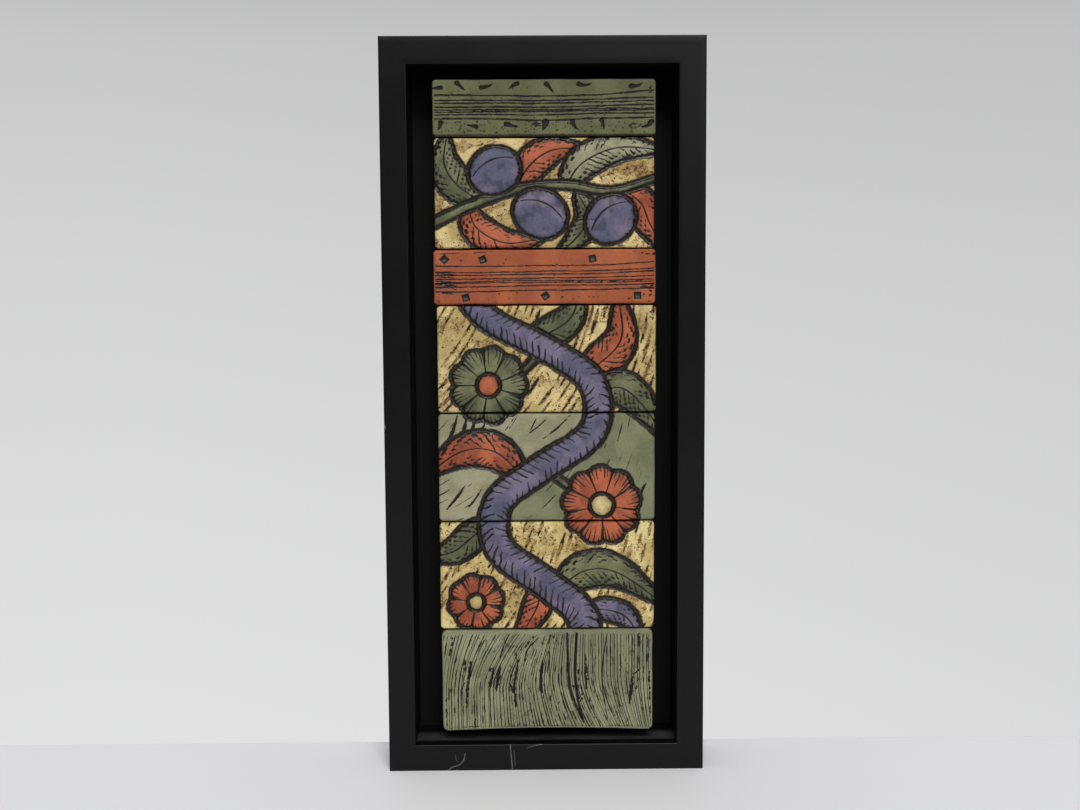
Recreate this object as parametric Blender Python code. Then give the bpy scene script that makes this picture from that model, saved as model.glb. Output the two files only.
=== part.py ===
# A tall plaque: seven carved ceramic tiles, one above another, in a deep black frame that hangs on a wall.
# Units are metres. The origin is the middle of the back panel's rear face, the front faces -Y, +Z is up.

import math

import bmesh
import bpy
import numpy as np
from mathutils import Vector
from mathutils.geometry import delaunay_2d_cdt

# Tiles
tile_width = 0.1500
band_tile_height = 0.0380
picture_tile_height = 0.0745
combed_tile_height = 0.0730
tile_thickness = 0.0130
tile_joint = 0.0008
tile_corner = 0.0026
tile_edge_round = 0.0018
combed_tile_arch = 0.0016

# Frame, from the tiles outwards and from the wall forwards
side_gap = 0.0152
top_gap = 0.0088
bottom_gap = 0.0070
rail_width = 0.0186
rail_edge_round = 0.0010
rabbet_width = 0.0080
panel_thickness = 0.0050
board_thickness = 0.0214
board_inset = 0.0200
tile_recess = 0.0070
fit = 0.0003

# Carving
groove_reach = 0.0013
groove_shoulder = 0.0011
groove_depth = 0.0009
figure_edge_rise = 0.0002
petal_notch_share = 0.12
figure_crown = 0.0010
crown_reach = 0.0060
midrib_half_width = 0.0009
midrib_depth = 0.0006
comb_half_width = 0.0008
comb_depth = 0.0006
gouge_half_width = 0.0011
gouge_depth = 0.0010
stamp_size = 0.0050
stamp_depth = 0.0012
stamp_wall = 0.0005

# The tiles are made by hand: how much wider, how much taller, and how far right of the middle each one is
tile_rows = (
    ("top_band_tile", band_tile_height, 0.0017, 0.0003, 0.0009),
    ("fruit_tile", picture_tile_height, 0.0002, -0.0001, 0.0009),
    ("orange_band_tile", band_tile_height, 0.0024, -0.0005, 0.0007),
    ("vine_tile_upper", picture_tile_height, 0.0008, -0.0009, 0.0019),
    ("vine_tile_middle", picture_tile_height, 0.0001, 0.0004, 0.0015),
    ("vine_tile_lower", picture_tile_height, -0.0003, 0.0011, 0.0013),
    ("combed_tile", combed_tile_height, -0.0020, 0.0000, 0.0012),
)

widest_tile = tile_width + max(row[2] for row in tile_rows)
stack_height = sum(row[1] + row[3] for row in tile_rows) + tile_joint * (len(tile_rows) - 1)
opening_width = widest_tile + 2 * side_gap
opening_height = stack_height + top_gap + bottom_gap
panel_front = -panel_thickness
board_back = panel_front - fit
board_front = board_back - board_thickness
tile_back = board_front - fit
tile_front = tile_back - tile_thickness
frame_front = tile_front - tile_recess
stack_top = opening_height / 2 - top_gap

smallest = 0.00001

tile_boxes = {}
top = stack_top
for name, height, wider, taller, shift in tile_rows:
    tile_boxes[name] = {
        "width": tile_width + wider,
        "height": height + taller,
        "centre": (shift, top - (height + taller) / 2),
    }
    top -= height + taller + tile_joint


def remove_everything():
    for thing in list(bpy.data.objects):
        bpy.data.objects.remove(thing, do_unlink=True)


def finish_material(name, colour, roughness):
    material = bpy.data.materials.new(name)
    material.use_nodes = True
    shader = material.node_tree.nodes["Principled BSDF"]
    shader.inputs["Base Color"].default_value = (*colour, 1.0)
    shader.inputs["Roughness"].default_value = roughness
    shader.inputs["Metallic"].default_value = 0.0
    return material


def add_object(name, bm, colour, roughness):
    bmesh.ops.recalc_face_normals(bm, faces=bm.faces)
    mesh = bpy.data.meshes.new(name)
    bm.to_mesh(mesh)
    bm.free()
    mesh.materials.append(finish_material(name + "_finish", colour, roughness))
    piece = bpy.data.objects.new(name, mesh)
    bpy.context.scene.collection.objects.link(piece)
    return piece


# Frame


def rail_section():
    """Outline across a rail: steps outward from the opening and depths, with the rear rabbet and round front edges."""
    arc = [math.radians(angle) for angle in (0, 45, 90)]
    r = rail_edge_round
    inner = [(r - r * math.cos(a), frame_front + r - r * math.sin(a)) for a in arc]
    outer = [(rail_width - r + r * math.sin(a), frame_front + r - r * math.cos(a)) for a in arc]
    rabbet_floor = panel_front - fit
    rear = [(rail_width, 0.0), (rabbet_width, 0.0), (rabbet_width, rabbet_floor), (0.0, rabbet_floor)]
    return inner + outer + rear


def add_rail(name, outward, along, to_opening, opening_half_length):
    """A rail is its section swept along one side of the opening, with each end cut on the mitre."""
    bm = bmesh.new()
    mitre_clearance = fit / math.sqrt(2)
    ends = []
    for side in (-1, 1):
        loop = []
        for step, depth in rail_section():
            reach = side * (opening_half_length + step - mitre_clearance)
            place = Vector(outward) * (to_opening + step) + Vector(along) * reach
            loop.append(bm.verts.new((place.x, depth, place.z)))
        ends.append(loop)
        bm.faces.new(loop)
    count = len(ends[0])
    for i in range(count):
        j = (i + 1) % count
        bm.faces.new((ends[0][i], ends[0][j], ends[1][j], ends[1][i]))
    return add_object(name, bm, (0.012, 0.012, 0.012), 0.42)


def add_box(name, size, centre, colour, roughness):
    bm = bmesh.new()
    bmesh.ops.create_cube(bm, size=1.0)
    bmesh.ops.scale(bm, verts=bm.verts, vec=size)
    bmesh.ops.translate(bm, verts=bm.verts, vec=centre)
    return add_object(name, bm, colour, roughness)


def add_frame():
    half_width, half_height = opening_width / 2, opening_height / 2
    add_rail("frame_top_rail", (0, 0, 1), (1, 0, 0), half_height, half_width)
    add_rail("frame_bottom_rail", (0, 0, -1), (1, 0, 0), half_height, half_width)
    add_rail("frame_left_stile", (-1, 0, 0), (0, 0, 1), half_width, half_height)
    add_rail("frame_right_stile", (1, 0, 0), (0, 0, 1), half_width, half_height)


def add_boards():
    lap = 2 * (rabbet_width - fit)
    size = (opening_width + lap, panel_thickness, opening_height + lap)
    add_box("back_panel", size, (0, panel_front / 2, 0), (0.010, 0.010, 0.010), 0.6)
    narrowest = tile_width + min(row[2] for row in tile_rows)
    middle_x = sum(row[4] for row in tile_rows) / len(tile_rows)
    size = (narrowest - 2 * board_inset, board_thickness, stack_height - 2 * board_inset)
    place = (middle_x, (board_back + board_front) / 2, stack_top - stack_height / 2)
    add_box("mounting_board", size, place, (0.010, 0.010, 0.010), 0.6)


# Figures of the carving. A band follows a curve with a half width at each point; a disc is an oval, plain or lobed.


def curve_through(points, steps):
    """Catmull-Rom curve through the points, so many steps to each span."""
    p = np.asarray(points, float)
    p = np.vstack([2 * p[0] - p[1], p, 2 * p[-1] - p[-2]])
    t = np.linspace(0, 1, steps, endpoint=False)[:, None]
    spans = []
    for a, b, c, d in zip(p[:-3], p[1:-2], p[2:-1], p[3:]):
        linear, square, cube = c - a, 2 * a - 5 * b + 4 * c - d, 3 * b - a - 3 * c + d
        spans.append(0.5 * (2 * b + linear * t + square * t**2 + cube * t**3))
    return np.vstack(spans + [p[-2:-1]])


def band(kind, points, half_widths, steps):
    line = curve_through(points, steps)
    return {"kind": kind, "line": line, "half": half_widths(np.linspace(0, 1, len(line)))}


def leaf(points, half_width):
    return band("leaf", points, lambda t: half_width * np.sin(np.pi * t**0.8) ** 0.75 + 0.01, 3)


def stem(points, start, end, steps=4):
    return band("stem", points, lambda t: start + (end - start) * t, steps)


def disc(kind, centre, radii, turn=0.0, lobes=0):
    return {"kind": kind, "centre": centre, "radii": radii, "turn": math.radians(turn), "lobes": lobes}


def plum(centre, radii, turn):
    """An oval with the crease of the fruit, a shallow arc from end to end."""
    t = np.linspace(-0.8, 0.8, 6)
    u, v = turned(t * radii[0], 0.45 * radii[1] * (1 - t * t), -math.radians(turn))
    crease = {"kind": "comb", "line": np.stack([u, v], axis=1) + centre, "half": 0.8 - 0.5 * np.abs(t)}
    return [disc("plum", centre, radii, turn), crease]


def rosette(centre, radius, lobes, turn=0.0, eye=0.3):
    """A lobed disc, a groove from its eye to the notch between each two petals, and a round eye."""
    grooves = []
    for k in range(lobes):
        angle = math.radians(turn) + (2 * k + 1) * math.pi / lobes
        ray = np.array((math.cos(angle), math.sin(angle)))
        points = np.array(centre) + np.outer((eye * radius, 0.92 * radius), ray)
        grooves.append(band("comb", points, lambda t: 0.4 + 0.6 * t, 1))
    eye_disc = disc("button", centre, (eye * radius, eye * radius))
    return [disc("rosette", centre, (radius, radius), turn, lobes), *grooves, eye_disc]


def disc_radius(figure, angle):
    a, b = figure["radii"]
    radius = a * b / np.hypot(b * np.cos(angle), a * np.sin(angle))
    if figure["lobes"]:
        petal = np.abs(np.cos(figure["lobes"] * angle / 2)) ** 0.8
        radius = radius * (1 - petal_notch_share * (1 - petal))
    return radius


def placed(figures, field, design_size):
    """The figures, drawn in design units about the middle of a field, at their real place and size in the field."""
    scale = np.array(field["size"]) / np.array(design_size)
    across = math.sqrt(scale[0] * scale[1])
    for figure in figures:
        if "line" in figure:
            line = np.array(field["centre"]) + figure["line"] * scale
            yield {**figure, "line": line, "half": figure["half"] * across}
        else:
            centre = np.array(field["centre"]) + np.array(figure["centre"]) * scale
            yield {**figure, "centre": centre, "radii": [r * across for r in figure["radii"]]}


def signed_distance(figure, x, z):
    """Distance of each point from the figure's outline, negative inside it."""
    if figure["kind"] == "stamp":
        u, v = turned(x - figure["centre"][0], z - figure["centre"][1], figure["turn"])
        return np.maximum(np.abs(u), np.abs(v)) - stamp_size / 2
    if "centre" in figure:
        u, v = turned(x - figure["centre"][0], z - figure["centre"][1], figure["turn"])
        return np.hypot(u, v) - disc_radius(figure, np.arctan2(v, u))
    nearest = np.full(x.shape, np.inf)
    line, half = figure["line"], figure["half"]
    for (ax, az), (bx, bz), ha, hb in zip(line[:-1], line[1:], half[:-1], half[1:]):
        dx, dz = bx - ax, bz - az
        t = np.clip(((x - ax) * dx + (z - az) * dz) / (dx * dx + dz * dz), 0, 1)
        gap = np.hypot(x - ax - t * dx, z - az - t * dz) - (ha + (hb - ha) * t)
        nearest = np.minimum(nearest, gap)
    return nearest


def turned(u, v, angle):
    return u * math.cos(angle) + v * math.sin(angle), v * math.cos(angle) - u * math.sin(angle)


def distance_from_line(figure, x, z):
    return signed_distance({**figure, "half": np.zeros(len(figure["half"]))}, x, z)


# The form of the carved face, as a height over the tile's plane at each point


def carved_height(figures, x, z):
    """Each figure, back to front: a V groove round its outline, cut in what is behind it, and a crown inside."""
    height = np.zeros(x.shape)
    for figure in figures:
        d = signed_distance(figure, x, z)
        if figure["kind"] == "comb":
            depth = min(comb_depth, 2 * figure["half"].max()) * np.clip(-d / figure["half"].max(), 0, 1)
            height = height - depth
        elif figure["kind"] == "gouge":
            height = height - gouge_depth * np.clip(-d / figure["half"].max(), 0, 1)
        elif figure["kind"] == "stamp":
            height = height - stamp_depth * np.clip(-d / stamp_wall, 0, 1)
        else:
            outer = np.clip(1 - d / groove_reach, 0, 1)
            inner = np.clip(-d / groove_shoulder, 0, 1)
            crown = np.clip((-d - groove_shoulder) / crown_reach, 0, 1)
            body = -groove_depth + (groove_depth + figure_edge_rise) * inner
            body = body + figure_crown * np.sqrt(crown)
            if figure["kind"] == "leaf":
                beside = np.clip(1 - distance_from_line(figure, x, z) / midrib_half_width, 0, 1)
                body = body - midrib_depth * beside * (crown > 0)
            height = np.where(d > 0, height + (-groove_depth - height) * outer, body)
    return height


# Outlines that the mesh follows, so that every groove has its lips, its floor and its shoulder as real edges


def band_ring(figure, offset, around_ends=True):
    line, reach = figure["line"], figure["half"] + offset
    keep = reach > smallest * 10
    line, reach = line[keep], reach[keep]
    if len(line) < 2:
        return []
    tangent = np.gradient(line, axis=0)
    tangent /= np.linalg.norm(tangent, axis=1)[:, None]
    normal = np.stack([-tangent[:, 1], tangent[:, 0]], axis=1)
    left, right = line + normal * reach[:, None], line - normal * reach[:, None]
    ends = []
    for at, way in ((-1, 1), (0, -1)):
        blunt = reach[at] > 2 * groove_reach
        angles = (0.8, 0.0, -0.8) if blunt else (0.0,)
        turn = [math.cos(a) * way * tangent[at] + math.sin(a) * way * normal[at] for a in angles]
        ends.append(line[at] + reach[at] * np.array(turn))
    return [np.vstack([left, ends[0], right[::-1], ends[1]])]


def disc_ring(figure, offset):
    count = 4 * figure["lobes"] if figure["lobes"] else (18 if figure["kind"] == "plum" else 8)
    angle = np.arange(count) * 2 * math.pi / count
    radius = disc_radius(figure, angle) + offset
    u, v = turned(radius * np.cos(angle), radius * np.sin(angle), -figure["turn"])
    return [np.stack([u, v], axis=1) + figure["centre"]]


def stamp_ring(figure, offset):
    half = stamp_size / 2 + offset
    corners = np.array([(-half, -half), (half, -half), (half, half), (-half, half)])
    u, v = turned(corners[:, 0], corners[:, 1], -figure["turn"])
    return [np.stack([u, v], axis=1) + figure["centre"]]


def midrib_ring(figure):
    """A narrow ring along the middle of a leaf, wherever the leaf is wide enough to have its crown beside it."""
    wide = figure["half"] > groove_shoulder + 2 * midrib_half_width
    middle = {**figure, "line": figure["line"][wide], "half": np.full(wide.sum(), midrib_half_width)}
    return band_ring(middle, 0)


def figure_lines(figure):
    """Closed rings and open lines, as (points, is closed)."""
    kind = figure["kind"]
    if kind == "stamp":
        return [(ring, True) for offset in (0, -stamp_wall) for ring in stamp_ring(figure, offset)]
    if kind in ("comb", "gouge"):
        return [(ring, True) for ring in band_ring(figure, 0)] + [(figure["line"], False)]
    offsets = (groove_reach, 0.0, -groove_shoulder)
    if "centre" in figure:
        inner = (-groove_shoulder - crown_reach,) if kind != "button" else ()
        return [(ring, True) for offset in offsets + inner for ring in disc_ring(figure, offset)]
    rings = [ring for offset in offsets for ring in band_ring(figure, offset)]
    if kind == "leaf":
        rings += midrib_ring(figure)
    return [(ring, True) for ring in rings] + [(figure["line"], False)]


def shown_steps(points, closed, nearer, box):
    """The steps from point to point that lie on the tile and aren't under the body of a nearer figure."""
    x, z = points.T
    half_x, half_z = box["width"] / 2 + groove_reach, box["height"] / 2 + groove_reach
    lost = (np.abs(x - box["centre"][0]) > half_x) | (np.abs(z - box["centre"][1]) > half_z)
    for figure in nearer:
        if figure["kind"] not in ("comb", "gouge", "stamp"):
            lost |= signed_distance(figure, x, z) < 0
    count = len(points)
    steps = [(i, (i + 1) % count) for i in range(count if closed else count - 1)]
    return [(i, j) for i, j in steps if not (lost[i] and lost[j])]


# Tile bodies


def rounded_box_distance(x, z, width, height, corner):
    qx, qz = np.abs(x) - (width / 2 - corner), np.abs(z) - (height / 2 - corner)
    outside = np.hypot(np.maximum(qx, 0), np.maximum(qz, 0))
    return outside + np.minimum(np.maximum(qx, qz), 0) - corner


def rounded_box_ring(width, height, corner, inset, side_steps):
    """The tile's outline moved inwards, with its corners round and its sides in equal steps."""
    corner = max(corner - inset, corner * 0.2)
    half_x, half_z = width / 2 - inset - corner, height / 2 - inset - corner
    points = []
    for quarter, (sx, sz) in enumerate(((1, 1), (-1, 1), (-1, -1), (1, -1))):
        for angle in np.linspace(0, math.pi / 2, 4) + quarter * math.pi / 2:
            points.append((sx * half_x + corner * math.cos(angle), sz * half_z + corner * math.sin(angle)))
        nx, nz = ((-1, 1), (-1, -1), (1, -1), (1, 1))[quarter]
        start = np.array(points[-1])
        first = math.radians(90 * (quarter + 1))
        end = np.array((nx * half_x + corner * math.cos(first), nz * half_z + corner * math.sin(first)))
        for t in np.arange(1, side_steps[quarter % 2]) / side_steps[quarter % 2]:
            points.append(tuple(start + (end - start) * t))
    return np.array(points)


def edge_roll(inside):
    """How far the face falls away towards the tile's edge, a quarter round."""
    r = tile_edge_round
    beyond = np.clip(r - inside, 0, r)
    return r - np.sqrt(np.maximum(r * r - beyond * beyond, 0))


def face_triangles(lines):
    """The plane cut into triangles that keep every given step as an edge."""
    verts, edges = [], []
    for points, steps in lines:
        place = {i: len(verts) + k for k, i in enumerate(sorted({i for step in steps for i in step}))}
        verts.extend(Vector(points[i]) for i in place)
        edges.extend((place[i], place[j]) for i, j in steps)
    points, _, faces, *_ = delaunay_2d_cdt(verts, edges, [], 0, smallest)
    return np.array([tuple(point) for point in points]), faces


def add_tile(name, figures, colour, side_steps=(1, 1), arch=0.0):
    box = tile_boxes[name]
    width, height, centre = box["width"], box["height"], np.array(box["centre"])
    lines = []
    for inset in (0, tile_edge_round):
        ring = rounded_box_ring(width, height, tile_corner, inset, side_steps) + centre
        lines.append((ring, shown_steps(ring, True, [], box)))
    for k, figure in enumerate(figures):
        for points, closed in figure_lines(figure):
            lines.append((points, shown_steps(points, closed, figures[k + 1 :], box)))
    points, faces = face_triangles(lines)
    x, z = (points - centre).T
    edge = rounded_box_distance(x, z, width, height, tile_corner)
    form = carved_height(figures, points[:, 0], points[:, 1]) - edge_roll(-edge)
    arch_share = np.clip(0.5 - z / height, 0, 1) * (1 - (2 * x / width) ** 2)
    bm = bmesh.new()
    for px, pz, h in zip(points[:, 0], points[:, 1] + arch * arch_share, form):
        bm.verts.new((px, tile_front - h, pz))
    bm.verts.ensure_lookup_table()
    for face in faces:
        middle = np.mean([points[i] for i in face], axis=0) - centre
        on_tile = all(edge[i] < smallest for i in face)
        if on_tile and rounded_box_distance(middle[0], middle[1], width, height, tile_corner) < 0:
            bm.faces.new([bm.verts[i] for i in face])
    bmesh.ops.delete(bm, geom=[v for v in bm.verts if not v.link_faces], context="VERTS")
    rim = [item for item in bm.edges if len(item.link_faces) == 1]
    sides = bmesh.ops.extrude_edge_only(bm, edges=rim)["geom"]
    for vert in (item for item in sides if isinstance(item, bmesh.types.BMVert)):
        vert.co.y = tile_back
    rear = [item for item in sides if isinstance(item, bmesh.types.BMEdge) and len(item.link_faces) == 1]
    bmesh.ops.contextual_create(bm, geom=rear)
    return add_object(name, bm, colour, 0.55)


# Combing and marks of the plain tiles


def comb_row(box, rises, wander):
    """Long level lines scratched with a coarse comb, at these shares of the tile's height."""
    lines = []
    for k, rise in enumerate(rises):
        share = np.linspace(-0.485, 0.485, 6)
        sway = wander * np.sin(5.0 * share + 1.7 * k)
        x = box["centre"][0] + share * box["width"]
        z = box["centre"][1] + (rise - 0.5) * box["height"] + sway
        half = np.full(len(x), comb_half_width)
        lines.append({"kind": "comb", "line": np.stack([x, z], axis=1), "half": half})
    return lines


def gouges(box, marks):
    """Comma strokes: each is (share across, share up, length, lean in degrees, bend)."""
    strokes = []
    for across, up, length, lean, bend in marks:
        t = np.linspace(-0.5, 0.5, 4)
        u, v = turned(t * length, bend * length * (0.25 - t * t), -math.radians(lean))
        x = box["centre"][0] + (across - 0.5) * box["width"] + u
        z = box["centre"][1] + (up - 0.5) * box["height"] + v
        half = gouge_half_width * (1.0 - 0.8 * (t + 0.5))
        strokes.append({"kind": "gouge", "line": np.stack([x, z], axis=1), "half": half})
    return strokes


def stamps(box, marks):
    """Square impressions: each is (share across, share up, turn in degrees)."""
    size = np.array((box["width"], box["height"]))
    for across, up, turn in marks:
        centre = np.array(box["centre"]) + (np.array((across, up)) - 0.5) * size
        yield {"kind": "stamp", "centre": centre, "turn": math.radians(turn)}


def bowed_comb(box, count):
    """Upright lines of the combed tile, which lean over at the top on the left and at the foot on the right."""
    lines = []
    for start in np.linspace(-0.475, 0.475, count):
        up = np.linspace(0.035, 0.965, 7)
        top_lean = 0.105 * math.exp(-(((start + 0.26) / 0.24) ** 2))
        foot_lean = 0.080 * math.exp(-(((start - 0.12) / 0.22) ** 2))
        lean = top_lean * np.clip((up - 0.4) / 0.6, 0, 1) ** 1.6
        lean = lean + foot_lean * np.clip((0.55 - up) / 0.55, 0, 1) ** 1.6
        x = box["centre"][0] + (start + lean) * box["width"]
        z = box["centre"][1] + (up - 0.5) * box["height"]
        half = np.full(len(x), comb_half_width)
        lines.append({"kind": "comb", "line": np.stack([x, z], axis=1), "half": half})
    return lines


comb_rises = (0.71, 0.615, 0.52, 0.425, 0.325)
top_band_gouges = (
    (0.04, 0.85, 0.0055, 4, 0.0),
    (0.205, 0.85, 0.0085, -42, -0.1),
    (0.38, 0.86, 0.0080, 20, 0.0),
    (0.545, 0.85, 0.0085, 222, 0.2),
    (0.775, 0.84, 0.0085, -60, 0.1),
    (0.93, 0.86, 0.0090, 24, -0.2),
    (0.055, 0.13, 0.0070, 72, 0.1),
    (0.27, 0.14, 0.0080, -8, -0.1),
    (0.52, 0.15, 0.0085, -16, 0.1),
    (0.70, 0.14, 0.0075, -85, 0.1),
    (0.83, 0.13, 0.0085, -60, -0.1),
    (0.945, 0.14, 0.0090, 32, -0.3),
)
orange_band_stamps = (
    (0.058, 0.845, 45),
    (0.225, 0.845, 20),
    (0.716, 0.845, 10),
    (0.146, 0.135, 15),
    (0.501, 0.155, 32),
    (0.917, 0.150, 2),
)


# Pictures, drawn in design units about the middle of their field

fruit_design_size = (150.0, 74.4)
vine_design_size = (150.0, 225.7)


def fruit_spray():
    return [
        leaf([(-44, -6), (-60, 6), (-68, 20), (-66, 40)], 12),
        leaf([(-20, 0), (-12, 16), (4, 28), (30, 30)], 11.5),
        leaf([(14, 4), (26, 20), (50, 30), (84, 28)], 11.5),
        leaf([(-52, -10), (-46, -24), (-26, -34), (2, -30)], 11),
        leaf([(22, 0), (30, -16), (22, -30), (6, -44)], 9),
        leaf([(54, 2), (66, -8), (72, -22), (84, -40)], 11.5),
        stem([(-84, -24), (-52, -9), (-20, 2), (14, 5), (46, 1), (84, 12)], 3.8, 2.6),
        *plum((-34, 15), (18.5, 16.5), 24),
        *plum((-3, -14), (19.5, 17), -24),
        *plum((45, -18), (18.5, 16.5), 40),
    ]


def winding_vine():
    trunk = [(-64, 134), (-40, 104), (-2, 84), (31, 60), (32, 26), (-4, 0), (-34, -24), (-33, -56)]
    trunk += [(0, -82), (24, -104), (26, -134)]
    return [
        leaf([(22, 66), (38, 74), (52, 92), (48, 126)], 13),
        leaf([(-20, 86), (2, 94), (18, 106), (24, 130)], 11),
        leaf([(30, 50), (50, 56), (66, 44), (84, 18)], 12.5),
        leaf([(-16, -6), (-36, 12), (-60, 12), (-86, -6)], 13),
        leaf([(-34, -40), (-50, -46), (-66, -58), (-88, -62)], 11),
        leaf([(6, -86), (26, -72), (50, -74), (84, -98)], 13.5),
        leaf([(-8, -76), (-6, -92), (-12, -106), (-26, -128)], 10),
        leaf([(26, -100), (42, -100), (56, -106), (66, -124)], 9),
        stem([(2, 86), (-14, 70), (-28, 60)], 3.0, 2.4, 3),
        stem([(-2, 0), (14, -12), (24, -20)], 3.0, 2.4, 3),
        stem(trunk, 8.5, 11.5, 3),
        *rosette((-40, 58), 27, 9),
        *rosette((38, -26), 28, 9, 12),
        *rosette((-50, -94), 20, 8, 12),
    ]


def field_over(*names):
    """The middle and size of the rectangle that these tiles fill together."""
    boxes = [tile_boxes[name] for name in names]
    tops = [box["centre"][1] + box["height"] / 2 for box in boxes]
    feet = [box["centre"][1] - box["height"] / 2 for box in boxes]
    middle_x = sum(box["centre"][0] for box in boxes) / len(boxes)
    return {
        "centre": (middle_x, (max(tops) + min(feet)) / 2),
        "size": (tile_width, max(tops) - min(feet)),
    }


def add_tiles():
    box = tile_boxes["top_band_tile"]
    figures = comb_row(box, comb_rises, 0.0003) + gouges(box, top_band_gouges)
    add_tile("top_band_tile", figures, (0.105, 0.112, 0.060))
    box = tile_boxes["orange_band_tile"]
    figures = comb_row(box, comb_rises, 0.0003) + list(stamps(box, orange_band_stamps))
    add_tile("orange_band_tile", figures, (0.370, 0.112, 0.050))
    figures = list(placed(fruit_spray(), field_over("fruit_tile"), fruit_design_size))
    add_tile("fruit_tile", figures, (0.400, 0.310, 0.150))
    vine_names = ("vine_tile_upper", "vine_tile_middle", "vine_tile_lower")
    figures = list(placed(winding_vine(), field_over(*vine_names), vine_design_size))
    grounds = ((0.400, 0.310, 0.150), (0.250, 0.250, 0.160), (0.400, 0.310, 0.150))
    for name, ground in zip(vine_names, grounds):
        add_tile(name, figures, ground)
    figures = bowed_comb(tile_boxes["combed_tile"], 20)
    add_tile("combed_tile", figures, (0.200, 0.205, 0.125), (8, 1), combed_tile_arch)


remove_everything()
add_frame()
add_boards()
add_tiles()
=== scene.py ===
import math
from types import SimpleNamespace

import bpy
import numpy as np
from mathutils import Euler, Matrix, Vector


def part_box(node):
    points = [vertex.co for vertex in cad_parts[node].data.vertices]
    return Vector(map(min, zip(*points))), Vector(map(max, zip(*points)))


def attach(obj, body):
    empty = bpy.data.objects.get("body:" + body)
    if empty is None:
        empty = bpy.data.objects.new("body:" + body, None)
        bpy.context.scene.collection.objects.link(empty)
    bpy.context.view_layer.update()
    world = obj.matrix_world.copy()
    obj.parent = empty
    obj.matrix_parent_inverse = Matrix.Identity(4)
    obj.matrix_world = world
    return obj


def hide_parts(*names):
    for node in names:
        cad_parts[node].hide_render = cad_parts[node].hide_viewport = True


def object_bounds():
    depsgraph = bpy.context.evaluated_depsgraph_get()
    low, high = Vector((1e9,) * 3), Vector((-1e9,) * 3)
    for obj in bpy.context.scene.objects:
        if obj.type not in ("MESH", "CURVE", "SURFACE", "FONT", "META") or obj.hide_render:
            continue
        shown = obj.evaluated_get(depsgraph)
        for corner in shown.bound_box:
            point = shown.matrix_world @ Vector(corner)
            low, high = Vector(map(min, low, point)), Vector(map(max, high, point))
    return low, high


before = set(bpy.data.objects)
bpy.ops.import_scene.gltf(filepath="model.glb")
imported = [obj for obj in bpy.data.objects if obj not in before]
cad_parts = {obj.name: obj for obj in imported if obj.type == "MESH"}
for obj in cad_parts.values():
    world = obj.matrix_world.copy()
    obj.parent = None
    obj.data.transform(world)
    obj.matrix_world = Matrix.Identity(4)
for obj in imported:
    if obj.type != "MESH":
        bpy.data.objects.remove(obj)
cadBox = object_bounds()
millimetre = 0.001


# Small tools for shapes


def smooth(t):
    # 3 t^2 - 2 t^3, with t kept between 0 and 1
    t = np.clip(t, 0.0, 1.0)
    return t * t * (3.0 - 2.0 * t)


def mix(first, second, share):
    # first where share is 0, second where it is 1, and in proportion between
    return first + (second - first) * share


def softNoise(x, z, cell, seed):
    # a random height at each corner of a lattice of this cell, blended smoothly between the corners
    size = 128
    lattice = np.random.default_rng(seed).random((size, size))
    u, v = x / cell[0], z / cell[1]
    i, j = np.floor(u).astype(int), np.floor(v).astype(int)
    left, right, share = i % size, (i + 1) % size, smooth(u - i)
    low, high = (mix(lattice[left, row % size], lattice[right, row % size], share) for row in (j, j + 1))
    return mix(low, high, smooth(v - j))


def layeredNoise(x, z, cell, seed):
    # three layers of soft noise, each with half the cell and half the weight of the one before
    weights = (1.0, 0.5, 0.25)
    layers = [softNoise(x, z, (cell[0] * w, cell[1] * w), seed + k) * w for k, w in enumerate(weights)]
    return sum(layers) / sum(weights)


def swing(x, z, cell, seed):
    # layered noise about zero, up to a half either way
    return layeredNoise(x, z, cell, seed) - 0.5


def noiseAlong(t, cell, seed):
    # layered noise of one number
    return layeredNoise(t, t * 0, (cell, 1), seed)


def patches(x, z, cell, seed, start, width):
    # a mask that rises from 0 to 1 while the layered noise goes from the start to the width above it
    return smooth((layeredNoise(x, z, cell, seed) - start) / width)


def filled(gap, softness):
    # 1 inside an edge and 0 outside it, eased over the softness about the edge
    return smooth(0.5 - gap / softness)


def lift(values, others, where=slice(None)):
    # raises, in place, the values that are below the others
    values[where] = np.maximum(values[where], others)


def curveThrough(points, steps):
    # Catmull-Rom: a cubic over each span, which leaves each point along the chord of its two neighbours
    p = np.asarray(points, float)
    p = np.vstack([2 * p[0] - p[1], p, 2 * p[-1] - p[-2]])
    t = np.linspace(0, 1, steps, endpoint=False)[:, None]
    spans = []
    for a, b, c, d in zip(p[:-3], p[1:-2], p[2:-1], p[3:]):
        linear, square, cube = c - a, 2 * a - 5 * b + 4 * c - d, 3 * b - a - 3 * c + d
        spans.append(0.5 * (2 * b + linear * t + square * t**2 + cube * t**3))
    return np.vstack(spans + [p[-2:-1]])


def lineThrough(points, steps):
    # a curve through three points or more, and a straight line through two
    return curveThrough(points, steps) if len(points) > 2 else np.array(points, float)


def turned(u, v, angle):
    # the same point, read in axes that are turned by the angle
    return u * math.cos(angle) + v * math.sin(angle), v * math.cos(angle) - u * math.sin(angle)


def lightOf(tone):
    # a screen tone from 0 to 255 as light, by the sRGB curve
    share = np.array(tone, float) / 255
    return np.where(share <= 0.04045, share / 12.92, ((share + 0.055) / 1.055) ** 2.4)


def boxOf(node):
    # the lowest and the highest corner of a node's box, in millimetres
    return [np.array(corner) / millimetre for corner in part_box(node)]


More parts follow.
